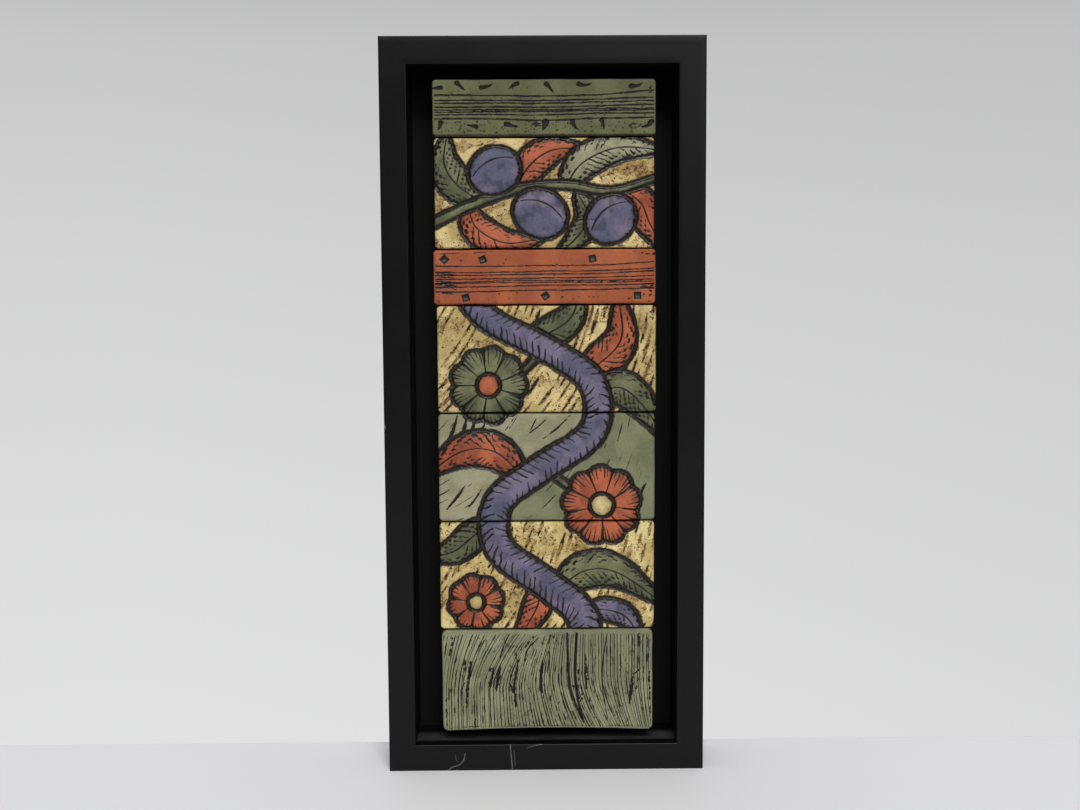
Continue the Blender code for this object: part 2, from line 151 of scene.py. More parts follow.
def addMesh(name, points, faceSets, sharpAngle):
    # one mesh from an array of points and arrays of faces, smooth but for edges sharper than the angle
    mesh = bpy.data.meshes.new(name)
    mesh.vertices.add(len(points))
    mesh.vertices.foreach_set("co", (points * millimetre).astype(np.float32).ravel())
    corners = np.concatenate([faces.ravel() for faces in faceSets])
    sizes = np.concatenate([np.full(len(faces), faces.shape[1]) for faces in faceSets])
    mesh.loops.add(len(corners))
    mesh.loops.foreach_set("vertex_index", corners.astype(np.int32))
    mesh.polygons.add(len(sizes))
    mesh.polygons.foreach_set("loop_start", (np.cumsum(sizes) - sizes).astype(np.int32))
    mesh.update(calc_edges=True)
    mesh.validate()
    mesh.polygons.foreach_set("use_smooth", np.ones(len(sizes), bool))
    mesh.set_sharp_from_angle(angle=math.radians(sharpAngle))
    piece = bpy.data.objects.new(name, mesh)
    bpy.context.scene.collection.objects.link(piece)
    return piece


def addAttribute(piece, name, values):
    # a number or a colour for each point of the mesh, which the material reads by its name
    if values.ndim == 1:
        layer = piece.data.attributes.new(name, "FLOAT", "POINT")
        layer.data.foreach_set("value", values.astype(np.float32))
    else:
        layer = piece.data.attributes.new(name, "FLOAT_COLOR", "POINT")
        opaque = np.column_stack([values, np.ones(len(values))])
        layer.data.foreach_set("color", opaque.astype(np.float32).ravel())


def settle(piece, node, material):
    # the piece stands in for a node of the frame, rides with it and wears this material
    piece.data.materials.append(material)
    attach(piece, "root")
    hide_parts(node)


# Finishes


def newMaterial(name):
    material = bpy.data.materials.new(name)
    material.use_nodes = True
    tree = material.node_tree
    return material, tree, tree.nodes["Principled BSDF"]


def addNode(tree, kind, inputs=None, **settings):
    # a node with its settings and inputs: an input is a number, a colour or another node's output
    node = tree.nodes.new(kind)
    for key, value in settings.items():
        setattr(node, key, value)
    for key, value in (inputs or {}).items():
        if isinstance(value, bpy.types.NodeSocket):
            tree.links.new(value, node.inputs[key])
        else:
            node.inputs[key].default_value = value
    return node


def mathNode(tree, operation, first, second):
    return addNode(tree, "ShaderNodeMath", {0: first, 1: second}, operation=operation).outputs[0]


def plus(tree, first, second):
    return mathNode(tree, "ADD", first, second)


def times(tree, first, second):
    return mathNode(tree, "MULTIPLY", first, second)


def attribute(tree, name, output="Fac"):
    return addNode(tree, "ShaderNodeAttribute", attribute_name=name).outputs[output]


def objectPlace(tree):
    return addNode(tree, "ShaderNodeTexCoord").outputs["Object"]


def rangeNode(tree, value, fromLow, fromHigh, toLow=0.0, toHigh=1.0, kind="SMOOTHSTEP"):
    # value from the first two limits carried to the last two, eased at both ends unless kind is LINEAR
    inputs = {"Value": value, "From Min": fromLow, "From Max": fromHigh, "To Min": toLow, "To Max": toHigh}
    return addNode(tree, "ShaderNodeMapRange", inputs, interpolation_type=kind).outputs["Result"]


def scaledColour(tree, tint, scale):
    return addNode(tree, "ShaderNodeVectorMath", {0: tint, "Scale": scale}, operation="SCALE").outputs[0]


def colourMix(tree, share, first, second):
    inputs = {"Factor": share, 6: first, 7: second}
    return addNode(tree, "ShaderNodeMix", inputs, data_type="RGBA").outputs[2]


def noiseNode(tree, place, scale, detail=3.0, roughness=0.55):
    inputs = {"Vector": place, "Scale": scale, "Detail": detail, "Roughness": roughness}
    return addNode(tree, "ShaderNodeTexNoise", inputs).outputs["Fac"]


def addBump(tree, shader, height, strength, distance):
    bump = addNode(tree, "ShaderNodeBump", {"Height": height, "Strength": strength, "Distance": distance})
    tree.links.new(bump.outputs["Normal"], shader.inputs["Normal"])


def colour(tone):
    return (*lightOf(tone), 1.0)


def glazeMaterial(name, look):
    # matt glaze in the point colours, broken by stain and specks, under the dark wash of the cuts
    material, tree, shader = newMaterial(name)
    place = objectPlace(tree)
    stain = attribute(tree, "stain")
    broad = noiseNode(tree, place, look["broadScale"])
    fine = noiseNode(tree, place, look["fineScale"], 4.0, 0.6)
    grain = noiseNode(tree, place, look["grainScale"], 2.0)
    mottled = rangeNode(tree, broad, 0.3, 0.7, 1 - look["mottle"], 1 + look["mottle"], "LINEAR")
    gritty = rangeNode(tree, fine, 0.3, 0.7, 1 - look["grit"], 1 + look["grit"], "LINEAR")
    base = scaledColour(tree, attribute(tree, "glaze", "Color"), times(tree, mottled, gritty))
    uneven = times(tree, mathNode(tree, "SUBTRACT", fine, 0.5), 1.6)
    pepper = times(tree, mathNode(tree, "SUBTRACT", grain, 0.5), look["pepper"])
    blotch = plus(tree, plus(tree, stain, uneven), pepper)
    stained = rangeNode(tree, blotch, 0.45, 0.95, 0.0, look["stainStrength"])
    base = colourMix(tree, stained, base, colour(look["stainTone"]))
    speckled = plus(tree, fine, times(tree, stain, look["speckGather"]))
    speck = rangeNode(tree, speckled, look["speckFrom"], look["speckFrom"] + 0.05)
    base = colourMix(tree, speck, base, colour(look["speckTone"]))
    ragged = plus(tree, attribute(tree, "wash"), times(tree, uneven, 0.3))
    inked = rangeNode(tree, ragged, 0.18, 0.72)
    base = colourMix(tree, inked, base, colour(look["washTone"]))
    tree.links.new(base, shader.inputs["Base Color"])
    sheen = rangeNode(tree, inked, 0.0, 1.0, look["roughness"], look["washRoughness"], "LINEAR")
    tree.links.new(plus(tree, sheen, times(tree, uneven, 0.04)), shader.inputs["Roughness"])
    height = plus(tree, times(tree, grain, 0.3), times(tree, fine, 0.5))
    height = mathNode(tree, "SUBTRACT", height, times(tree, speck, 0.6))
    strength = rangeNode(tree, inked, 0.0, 1.0, look["bump"], look["bump"] * 0.04, "LINEAR")
    addBump(tree, shader, height, strength, 0.0003)
    shader.inputs["Specular IOR Level"].default_value = look["specular"]
    return material


plainLook = {
    "broadScale": 90.0, "fineScale": 620.0, "grainScale": 2600.0, "mottle": 0.07, "grit": 0.13,
    "pepper": 1.0, "stainTone": (78, 52, 36), "stainStrength": 0.75, "speckTone": (52, 36, 30),
    "speckFrom": 0.70, "speckGather": 0.10, "washTone": (25, 20, 12), "roughness": 0.66,
    "washRoughness": 0.33, "specular": 0.33, "bump": 0.5,
}
creamLook = {
    **plainLook, "fineScale": 560.0, "mottle": 0.10, "grit": 0.19, "pepper": 1.3,
    "stainTone": (116, 78, 34), "stainStrength": 0.80, "speckTone": (74, 46, 24), "speckFrom": 0.645,
    "speckGather": 0.09, "bump": 0.9,
}


def satinBlack(name, look):
    # satin black paint with a faint grain; scuffs, and the painted reflection on the floor of the opening,
    # show through as grey by their point attribute
    material, tree, shader = newMaterial(name)
    place = objectPlace(tree)
    cloud = noiseNode(tree, place, look["cloudScale"], 3.0)
    grain = noiseNode(tree, place, look["grainScale"], 3.0)
    ragged = times(tree, attribute(tree, "scuffAndReflection"), rangeNode(tree, grain, 0.25, 0.6, 0.35, 1.0))
    paint = colourMix(tree, cloud, colour(look["dark"]), colour(look["light"]))
    tree.links.new(colourMix(tree, ragged, paint, colour(look["scuffAndReflectionTone"])), shader.inputs["Base Color"])
    gloss = rangeNode(tree, cloud, 0.3, 0.7, look["roughness"] - 0.03, look["roughness"] + 0.04, "LINEAR")
    tree.links.new(plus(tree, gloss, times(tree, ragged, 0.2)), shader.inputs["Roughness"])
    addBump(tree, shader, grain, look["bump"], 0.0001)
    shader.inputs["Specular IOR Level"].default_value = look["specular"]
    return material


frameLook = {
    "cloudScale": 22.0, "grainScale": 1500.0, "dark": (8, 8, 10), "light": (11, 11, 13),
    "scuffAndReflectionTone": (128, 128, 128), "roughness": 0.34, "specular": 0.19, "bump": 0.25,
}
boardLook = {
    **frameLook, "grainScale": 700.0, "dark": (13, 13, 14), "light": (20, 20, 20), "roughness": 0.6,
    "specular": 0.10, "bump": 0.5,
}


# Tiles: each face is a grid of points that holds its relief, its glaze, its dark wash and its brown stain

tileEdge = {
    "corner": 2.6, "roll": 1.8, "waver": 0.3, "rollSteps": 7, "backRings": (0.3, 0.7, 1.0),
    "sideWash": (0.3, 0.45, 0.55), "reliefFade": 0.8,
}
tileFace, tileBack = (corner[1] for corner in boxOf("top_band_tile"))

# Each glaze is fired between two tones
glazes = {
    "bandGreen": ((86, 90, 61), (97, 101, 70)),
    "green": ((80, 86, 58), (110, 113, 80)),
    "combedSage": ((119, 123, 95), (137, 140, 110)),
    "orange": ((143, 70, 44), (171, 92, 60)),
    "bandOrange": ((147, 77, 47), (160, 88, 54)),
    "purple": ((84, 84, 108), (110, 102, 124)),
    "paleSage": ((129, 129, 101), (147, 145, 118)),
    "midSage": ((102, 108, 79), (118, 122, 92)),
    "cream": ((174, 154, 99), (203, 184, 129)),
    # the cream again, painted lighter: painted light for the lowest vine tile, as more light falls at the
    # plaque's foot
    "creamPaintedLighter": ((186, 166, 107), (215, 198, 140)),
}


def edgeSteps(size, pitch):
    # places across a tile, even in the middle, and closer in the rolled edges, each at roll (1 - cos angle)
    roll = tileEdge["roll"]
    edge = roll * (1 - np.cos(np.linspace(0, math.pi / 2, tileEdge["rollSteps"])))
    middle = np.linspace(roll, size - roll, round((size - 2 * roll) / pitch) + 1)[1:-1]
    return np.concatenate([edge, middle, size - edge[::-1]]) - size / 2


def roundedCorners(u, v, halfWidth, halfHeight, corner):
    # Each square corner is drawn onto a quarter disc: a point keeps its ring, and its share along the ring
    # becomes an angle. The distance in from the tile's outline comes back too.
    a = np.maximum(np.abs(u) - (halfWidth - corner), 0)
    b = np.maximum(np.abs(v) - (halfHeight - corner), 0)
    ring = np.maximum(a, b)
    angle = np.where(a >= b, b / np.maximum(a, 1e-9), 2 - a / np.maximum(b, 1e-9)) * math.pi / 4
    reachU, reachV = np.where(a > 0, ring * np.cos(angle), 0), np.where(b > 0, ring * np.sin(angle), 0)
    newU = np.sign(u) * (np.minimum(np.abs(u), halfWidth - corner) + reachU)
    newV = np.sign(v) * (np.minimum(np.abs(v), halfHeight - corner) + reachV)
    return newU, newV, corner - ring


def tileCanvas(node, pitch, origin=None, corner=tileEdge["corner"]):
    # a blank face for a node's tile, as flat arrays, with x and z read from the origin or from its middle
    low, high = boxOf(node)
    width, height = high[0] - low[0], high[2] - low[2]
    middle = (low + high) / 2
    u, v = np.meshgrid(edgeSteps(width, pitch[0]), edgeSteps(height, pitch[1]), indexing="ij")
    shape = u.shape
    u, v, inset = roundedCorners(u.ravel(), v.ravel(), width / 2, height / 2, corner)
    # the outline wavers: each side moves in by a soft noise of its own, most of all at the rim
    seed = sorted(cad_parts).index(node)
    nearSide, nearEnd = np.abs(u / width * 2) ** 6, np.abs(v / height * 2) ** 6
    u -= np.sign(u) * nearSide * tileEdge["waver"] * softNoise(v + 300 * (u > 0), v * 0, (11, 1), seed)
    v -= np.sign(v) * nearEnd * tileEdge["waver"] * softNoise(u + 300 * (v > 0), u * 0, (17, 1), seed + 20)
    origin = origin or (middle[0], middle[2])
    count = len(u)
    return SimpleNamespace(
        node=node, shape=shape, width=width, height=height, middle=middle, inset=inset, u=u, v=v,
        x=u + middle[0] - origin[0], z=v + middle[2] - origin[1], glaze=np.zeros((count, 3)),
        relief=np.zeros(count), wash=np.zeros(count), stain=np.zeros(count), ground=np.ones(count, bool),
    )


def firedGlaze(name, x, z, seed):
    # the glaze's first tone, going over to its second as a layered noise rises from a third to two thirds
    first, second = (lightOf(tone) for tone in glazes[name])
    return mix(first, second, patches(x, z, (14, 14), seed, 0.33, 0.34)[:, None])


def raiseTile(canvas, material):
    # The face stands before the tile's plane by its relief, less the fall of the rolled edge, which is
    # roll - sqrt(roll^2 - (roll - inset)^2). Rings run straight back from its rim to a fan at the back.
    roll = tileEdge["roll"]
    beyond = np.clip(roll - canvas.inset, 0, roll)
    fall = roll - np.sqrt(roll**2 - beyond**2)
    y = tileFace - canvas.relief * smooth(canvas.inset / tileEdge["reliefFade"]) + fall
    face = np.column_stack([canvas.u + canvas.middle[0], y, canvas.v + canvas.middle[2]])
    ids = np.arange(len(face)).reshape(canvas.shape)
    quads = np.stack([ids[:-1, :-1], ids[1:, :-1], ids[1:, 1:], ids[:-1, 1:]], axis=-1).reshape(-1, 4)
    rim = np.concatenate([ids[:, 0], ids[-1, 1:], ids[-2::-1, -1], ids[0, -2:0:-1]])
    points, sideQuads, last = [face], [], rim
    for share in tileEdge["backRings"]:
        ring = face[rim].copy()
        ring[:, 1] = mix(ring[:, 1], tileBack, share)
        here = sum(len(p) for p in points) + np.arange(len(rim))
        sideQuads.append(np.stack([np.roll(last, -1), last, here, np.roll(here, -1)], axis=1))
        points.append(ring)
        last = here
    points.append(np.array([[canvas.middle[0], tileBack, canvas.middle[2]]]))
    hub = sum(len(p) for p in points) - 1
    fan = np.stack([np.roll(last, -1), last, np.full(len(last), hub)], axis=1)
    piece = addMesh(canvas.node + "Glazed", np.vstack(points), [quads, *sideQuads, fan], 80)
    clay = np.tile(canvas.glaze[rim], (len(tileEdge["backRings"]), 1))
    addAttribute(piece, "glaze", np.vstack([canvas.glaze, clay, canvas.glaze.mean(axis=0)]))
    sideWash = np.repeat(tileEdge["sideWash"], len(rim))
    addAttribute(piece, "wash", np.concatenate([canvas.wash, sideWash, [0.5]]))
    addAttribute(piece, "stain", np.concatenate([canvas.stain, np.full(len(sideWash) + 1, 0.5)]))
    settle(piece, canvas.node, material)


# Marks that are cut, pressed or smeared into a tile

# a painted highlight: the light grey the glossy wash shows, as if catching the light, on the floors of wide
# cuts and stamps
paintedSheenGrey = (92, 96, 96)
pitDepth, pitReach, pitInkShare = 0.35, 2.5, 0.6


def bandPlaces(x, z, line, half):
    # For each point: how far outside the band's edge it is, how far along the band, on which side of its
    # middle line and how far from that line, all taken at the step of the line whose edge is nearest.
    lengths = np.hypot(*np.diff(line, axis=0).T)
    starts = np.concatenate([[0], np.cumsum(lengths)])
    edge, along, side, off = np.full(x.shape, 1e9), np.zeros(x.shape), np.ones(x.shape), np.zeros(x.shape)
    for k, length in enumerate(lengths):
        step = line[k + 1] - line[k]
        fromX, fromZ = x - line[k, 0], z - line[k, 1]
        share = np.clip((fromX * step[0] + fromZ * step[1]) / length**2, 0, 1)
        gapX, gapZ = fromX - share * step[0], fromZ - share * step[1]
        gap = np.hypot(gapX, gapZ)
        new = gap - mix(half[k], half[k + 1], share)
        nearer = new < edge
        edge[nearer] = new[nearer]
        off[nearer] = gap[nearer]
        along[nearer] = starts[k] + share[nearer] * length
        side[nearer] = np.where(step[0] * gapZ[nearer] > step[1] * gapX[nearer], 1.0, -1.0)
    return {"edge": edge, "along": along, "side": side, "off": off}


def nearTo(canvas, line, reach):
    # the points within reach of the box round a line
    low, high = line.min(axis=0) - reach, line.max(axis=0) + reach
    x, z = canvas.x, canvas.z
    return np.flatnonzero((x > low[0]) & (x < high[0]) & (z > low[1]) & (z < high[1]))


def cutStroke(canvas, line, half, depth, wash, seed, ragged=0.5, sheen=0.0):
    # A scratch along a line: its edges waver by a fine noise, its walls ease down over half a millimetre,
    # and the dark wash fills it. With a sheen, its wide floor gets a painted highlight of light grey.
    near = nearTo(canvas, line, max(half) + 2)
    x, z = canvas.x[near], canvas.z[near]
    edge = bandPlaces(x, z, line, half)["edge"]
    cut = filled(edge + ragged * swing(x, z, (1.6, 1.6), seed), 0.5)
    canvas.relief[near] -= depth * cut
    floor = sheen * smooth((-edge - 0.3) / 0.5)
    canvas.wash[near] = np.maximum(canvas.wash[near], wash * cut) * (1 - floor)
    # painted highlight: where the floor shows, the wash thins and the glaze turns light grey
    canvas.glaze[near] = mix(canvas.glaze[near], lightOf(paintedSheenGrey), (floor > 0)[:, None])


def pits(canvas, count, size, region, seed, wash=0.8):
    # small round pits at random places in the region, which is given as shares of the tile
    dice = np.random.default_rng(seed)
    left, right, low, high = region
    for _ in range(count):
        x = (mix(left, right, dice.random()) - 0.5) * canvas.width
        z = (mix(low, high, dice.random()) - 0.5) * canvas.height
        radius = mix(size[0], size[1], dice.random() ** 2)
        near = np.flatnonzero((np.abs(canvas.u - x) < pitReach) & (np.abs(canvas.v - z) < pitReach))
        gap = np.hypot(canvas.u[near] - x, (canvas.v[near] - z) * mix(0.7, 1.3, dice.random())) - radius
        cut = filled(gap, 0.5)
        canvas.relief[near] -= pitDepth * cut
        if dice.random() < pitInkShare:
            lift(canvas.wash, wash * cut, near)
        lift(canvas.stain, 1.2 * filled(gap - 0.4, 0.8), near)


def fromSpot(canvas, across, up):
    # each point's place from a spot, which is given as shares of the tile's width and height
    return canvas.u - (across - 0.5) * canvas.width, canvas.v - (up - 0.5) * canvas.height


def smudge(canvas, across, up, size, strength, seed):
    # a cloud of dark wash: an oval that fades outwards, broken by noise
    u, v = fromSpot(canvas, across, up)
    oval = smooth(1.3 - np.hypot(u / size[0], v / size[1]))
    lift(canvas.wash, strength * oval * patches(u, v, (2.2, 1.3), seed, 0.42, 0.16))


# Banded tiles: level comb lines across the middle, and a row of marks above and below

combStops = (0.0, 0.28, 0.5, 0.75, 1.0)
combDepth, linkDepth, haloReach = 0.60, 0.3, 1.1
topBand = {
    "node": "top_band_tile",
    "glaze": "bandGreen",
    "halo": 0.50,
    "boldEnd": 0.0,
    "slot": "glaze_green",
    "look": {
        **plainLook, "stainTone": (50, 42, 31), "washTone": (13, 12, 8), "washRoughness": 0.5,
        "specular": 0.24,
    },
    "pitch": (0.5, 0.28),
    # each line's share of the tile's height at each stop across it
    "lines": (
        (0.722, 0.714, 0.697, 0.722, 0.800), (0.628, 0.628, 0.616, 0.645, 0.668),
        (0.581, 0.578, 0.570, 0.592, 0.617), (0.513, 0.511, 0.503, 0.528, 0.548),
        (0.458, 0.466, 0.458, 0.478, 0.480), (0.425, 0.428, 0.430, 0.442, 0.454),
        (0.375, 0.383, 0.370, 0.396, 0.399), (0.310, 0.302, 0.276, 0.309, 0.320),
    ),
    "halfWidths": (0.46, 0.42, 0.40, 0.44, 0.35, 0.33, 0.38, 0.46),
    "chain": (4, 5),
    "loose": (2, 6),
    # comma strokes: share across, share up, length, lean in degrees, bend, half width at the heavy end
    "gouges": (
        (0.018, 0.843, 6.4, 184, 0.0, 1.10), (0.129, 0.872, 7.2, -42, -0.04, 1.15),
        (0.244, 0.880, 7.6, 17, -0.12, 1.10), (0.361, 0.868, 7.0, 216, -0.10, 1.10),
        (0.526, 0.833, 7.6, -49, 0.06, 1.15), (0.682, 0.912, 8.4, 2, -0.26, 1.15),
        (0.914, 0.892, 7.8, 16, -0.20, 1.25), (0.031, 0.180, 5.4, 252, 0.05, 1.25),
        (0.175, 0.186, 6.6, 172, -0.04, 1.10), (0.357, 0.190, 8.6, -13, -0.06, 1.20),
        (0.500, 0.176, 5.6, 254, 0.06, 1.75), (0.640, 0.182, 6.8, -55, -0.22, 1.15),
        (0.762, 0.192, 6.2, -74, 0.08, 1.10), (0.958, 0.204, 7.8, 207, 0.24, 1.30),
    ),
}
orangeBand = {
    "node": "orange_band_tile",
    "glaze": "bandOrange",
    "halo": 0.66,
    "boldEnd": 0.22,
    "slot": "glaze_orange",
    "look": {
        **plainLook, "stainTone": (104, 44, 28), "speckTone": (84, 34, 26), "washTone": (14, 11, 8),
        "specular": 0.28,
    },
    "pitch": (0.5, 0.28),
    "lines": (
        (0.702, 0.690, 0.700, 0.707, 0.765), (0.581, 0.584, 0.596, 0.606, 0.650),
        (0.527, 0.537, 0.547, 0.554, 0.596), (0.458, 0.465, 0.476, 0.484, 0.514),
        (0.385, 0.424, 0.430, 0.430, 0.442), (0.370, 0.392, 0.398, 0.398, 0.408),
        (0.310, 0.326, 0.343, 0.342, 0.364), (0.225, 0.240, 0.254, 0.260, 0.290),
    ),
    "halfWidths": (0.28, 0.32, 0.34, 0.30, 0.26, 0.20, 0.30, 0.34),
    "chain": (4, 5),
    "loose": (2, 3),
    # square stamps: share across, share up, turn in degrees
    "stamps": (
        (0.050, 0.820, 45), (0.222, 0.815, 22), (0.715, 0.825, 12), (0.145, 0.125, 15), (0.503, 0.150, 34),
        (0.918, 0.150, 2),
    ),
    "stampSize": 4.9,
    "stampDepth": 1.2,
    # straight dashes: share across, share up, length, lean in degrees, half width
    "dashes": (
        (0.075, 0.925, 13.0, 2, 0.30), (0.222, 0.948, 12.5, 4, 0.30), (0.052, 0.552, 11.0, -3, 0.36),
        (0.056, 0.492, 10.0, -2, 0.34), (0.052, 0.412, 12.0, -4, 0.42), (0.060, 0.352, 12.5, -4, 0.50),
        (0.060, 0.200, 9.0, -5, 0.32), (0.090, 0.285, 5.0, -24, 0.24), (0.972, 0.600, 6.0, 8, 0.28),
        (0.968, 0.365, 7.0, 3, 0.34), (0.960, 0.300, 9.0, -6, 0.34),
    ),
    # single pits: share across, share up, radius
    "dots": (
        (0.315, 0.748, 0.55), (0.295, 0.193, 0.50), (0.376, 0.210, 0.35), (0.023, 0.054, 0.75),
        (0.579, 0.127, 0.55), (0.653, 0.130, 0.30), (0.700, 0.127, 0.30), (0.720, 0.127, 0.30),
        (0.739, 0.127, 0.35), (0.878, 0.094, 0.65), (0.946, 0.174, 0.40), (0.968, 0.050, 0.45),
        (0.784, 0.610, 0.40), (0.555, 0.722, 0.45), (0.125, 0.800, 0.40),
    ),
}


def combLines(canvas, band, seed):
    # Each line keeps to a smooth curve through its stops with a small wander, and its width comes and goes
    # with a slow noise. Where another noise is high, the two lines of the chain join in a dark link.
    u, v = canvas.u, canvas.v
    share = u / canvas.width + 0.5
    free = smooth((canvas.inset - 0.9) / 0.6)
    levels = []
    for k, (rises, half) in enumerate(zip(band["lines"], band["halfWidths"])):
        curve = curveThrough(list(zip(combStops, rises)), 8)
        level = (np.interp(share, curve[:, 0], curve[:, 1]) - 0.5) * canvas.height
        level += 0.5 * (noiseAlong(u, 13, seed + 7 * k) - 0.5)
        level += 0.34 * (noiseAlong(u, 2.4, seed + 7 * k + 5) - 0.5)
        levels.append(level)
        flow = noiseAlong(u, 4.5, seed + 7 * k + 3)
        gaps = (0.35 if k in band["loose"] else 0.05) * smooth((0.36 - flow) / 0.08)
        width = half * (0.75 + 0.7 * smooth((flow - 0.3) / 0.4)) - 0.22 * gaps
        width += band["boldEnd"] * smooth((0.09 - share) / 0.02)
        gap = np.abs(v - level) - width
        cut = filled(gap + 0.42 * swing(u, v, (1.1, 0.5), seed + 90 + k), 0.34) * free
        canvas.relief -= combDepth * cut
        lift(canvas.wash, cut)
        lift(canvas.stain, band["halo"] * smooth(1 - gap / haloReach) * free)
    for k, (upper, lower) in enumerate(zip(levels, levels[1:])):
        # a broken hairline between each two lines
        between = mix(upper, lower, mix(0.35, 0.65, noiseAlong(share, 0.3, seed + k)))
        seen = patches(u, v, (6, 0.9), seed + 130 + k, 0.52, 0.08)
        lift(canvas.wash, 0.60 * filled(np.abs(v - between) - 0.04, 0.34) * seen * free)
    low, high = (levels[k] for k in band["chain"][::-1])
    linked = smooth((noiseAlong(u, 3.0, seed + 60) - 0.61) / 0.05)
    link = filled(np.abs(v - (low + high) / 2) - np.abs(high - low) / 2, 0.4) * linked * free
    lift(canvas.wash, link)
    canvas.relief -= linkDepth * link


def strokeLine(canvas, across, up, lean, u, v):
    # a line of points that is turned by its lean and set on its spot
    u, v = turned(u, v, -math.radians(lean))
    return np.stack([u + (across - 0.5) * canvas.width, v + (up - 0.5) * canvas.height], axis=1)


def commaStroke(canvas, mark, seed):
    # a bent stroke with a blunt start: its half width falls as (1/2 - t)^0.8, with t from -1/2 to 1/2
    across, up, length, lean, bend, half = mark
    t = np.linspace(-0.5, 0.5, 9)
    line = strokeLine(canvas, across, up, lean, t * length, bend * length * (0.25 - t * t) * 4 / 2)
    widths = 1.36 * half * (0.12 + 0.88 * (0.5 - t) ** 0.8)
    # the strokes of the lower row get the painted grey highlight on their floors
    cutStroke(canvas, line, widths, 1.0, 1.0, seed, 0.8, 0.35 * (up < 0.5))


def squareStamp(canvas, mark, band):
    # a pressed square: its walls ease down over 0.6 mm to a floor that is deepest at its top
    across, up, turn = mark
    u, v = fromSpot(canvas, across, up)
    a, b = turned(u, v, math.radians(turn))
    edge = np.maximum(np.abs(a), np.abs(b)) - band["stampSize"] / 2
    cut = filled(edge, 0.6)
    # painted highlight: on the lower part of the floor the wash thins and the light grey glaze shows, as if
    # the floor caught the light
    floor = smooth((-edge - 0.45) / 0.8) * smooth(0.66 - 0.9 * v / band["stampSize"])
    canvas.relief -= band["stampDepth"] * cut * (1 - 0.35 * filled(v, band["stampSize"]))
    canvas.wash = np.where(cut > 0.02, cut * (1 - 0.62 * floor), canvas.wash)
    canvas.glaze = mix(canvas.glaze, lightOf(paintedSheenGrey), smooth(-edge / 0.4)[:, None])


def bandCanvas(band, seed):
    canvas = tileCanvas(band["node"], band["pitch"])
    canvas.glaze = firedGlaze(band["glaze"], canvas.u, canvas.v, seed)
    canvas.relief += 0.22 * swing(canvas.u, canvas.v, (16, 9), seed + 1)
    combLines(canvas, band, seed + 10)
    return canvas


def topBandTile():
    canvas = bandCanvas(topBand, 100)
    for k, mark in enumerate(topBand["gouges"]):
        commaStroke(canvas, mark, 140 + k)
    pits(canvas, 120, (0.16, 0.46), (0.02, 0.98, 0.06, 0.27), 160, 0.95)
    pits(canvas, 70, (0.16, 0.38), (0.03, 0.99, 0.3, 0.7), 161)
    pits(canvas, 9, (0.15, 0.4), (0.05, 0.97, 0.74, 0.95), 162, 0.5)
    # The lowest rolled edge gets brown stain and dark wash: partly real stain and partly painted shade on
    # the edge that turns down.
    lowRollStainAndShade = smooth((0.075 - (canvas.v / canvas.height + 0.5)) / 0.05)
    lift(canvas.stain, 0.95 * lowRollStainAndShade)
    lift(canvas.wash, 0.36 * lowRollStainAndShade)
    smudge(canvas, 0.465, 0.19, (5.0, 3.2), 0.75, 170)
    smudge(canvas, 0.975, 0.80, (1.6, 6.0), 0.9, 171)
    smudge(canvas, 0.90, 0.18, (5.0, 3.0), 0.7, 172)
    raiseTile(canvas, glazeMaterial("greenBandGlaze", topBand["look"]))


def orangeBandTile():
    canvas = bandCanvas(orangeBand, 200)
    for mark in orangeBand["stamps"]:
        squareStamp(canvas, mark, orangeBand)
    t = np.linspace(-0.5, 0.5, 5)
    for k, (across, up, length, lean, half) in enumerate(orangeBand["dashes"]):
        line = strokeLine(canvas, across, up, lean, t * length, t * 0)
        cutStroke(canvas, line, half * (1 - 1.6 * t * t), 0.5, 0.95, 260 + k, 0.8)
    for across, up, radius in orangeBand["dots"]:
        pits(canvas, 1, (radius, radius), (across, across, up, up), round(1000 * across), 1.0)
    pits(canvas, 40, (0.12, 0.34), (0.03, 0.98, 0.04, 0.96), 230)
    smudge(canvas, 0.965, 0.91, (7.0, 1.7), 1.0, 240)
    smudge(canvas, 0.965, 0.31, (6.0, 2.6), 1.0, 241)
    smudge(canvas, 0.975, 0.2, (1.5, 4.5), 0.8, 242)
    raiseTile(canvas, glazeMaterial("orangeBandGlaze", orangeBand["look"]))


print("Bands: combed, gouged and stamped")
topBandTile()
orangeBandTile()


# Combed tile: close upright lines that lean over at the top on the left and at the foot on the right

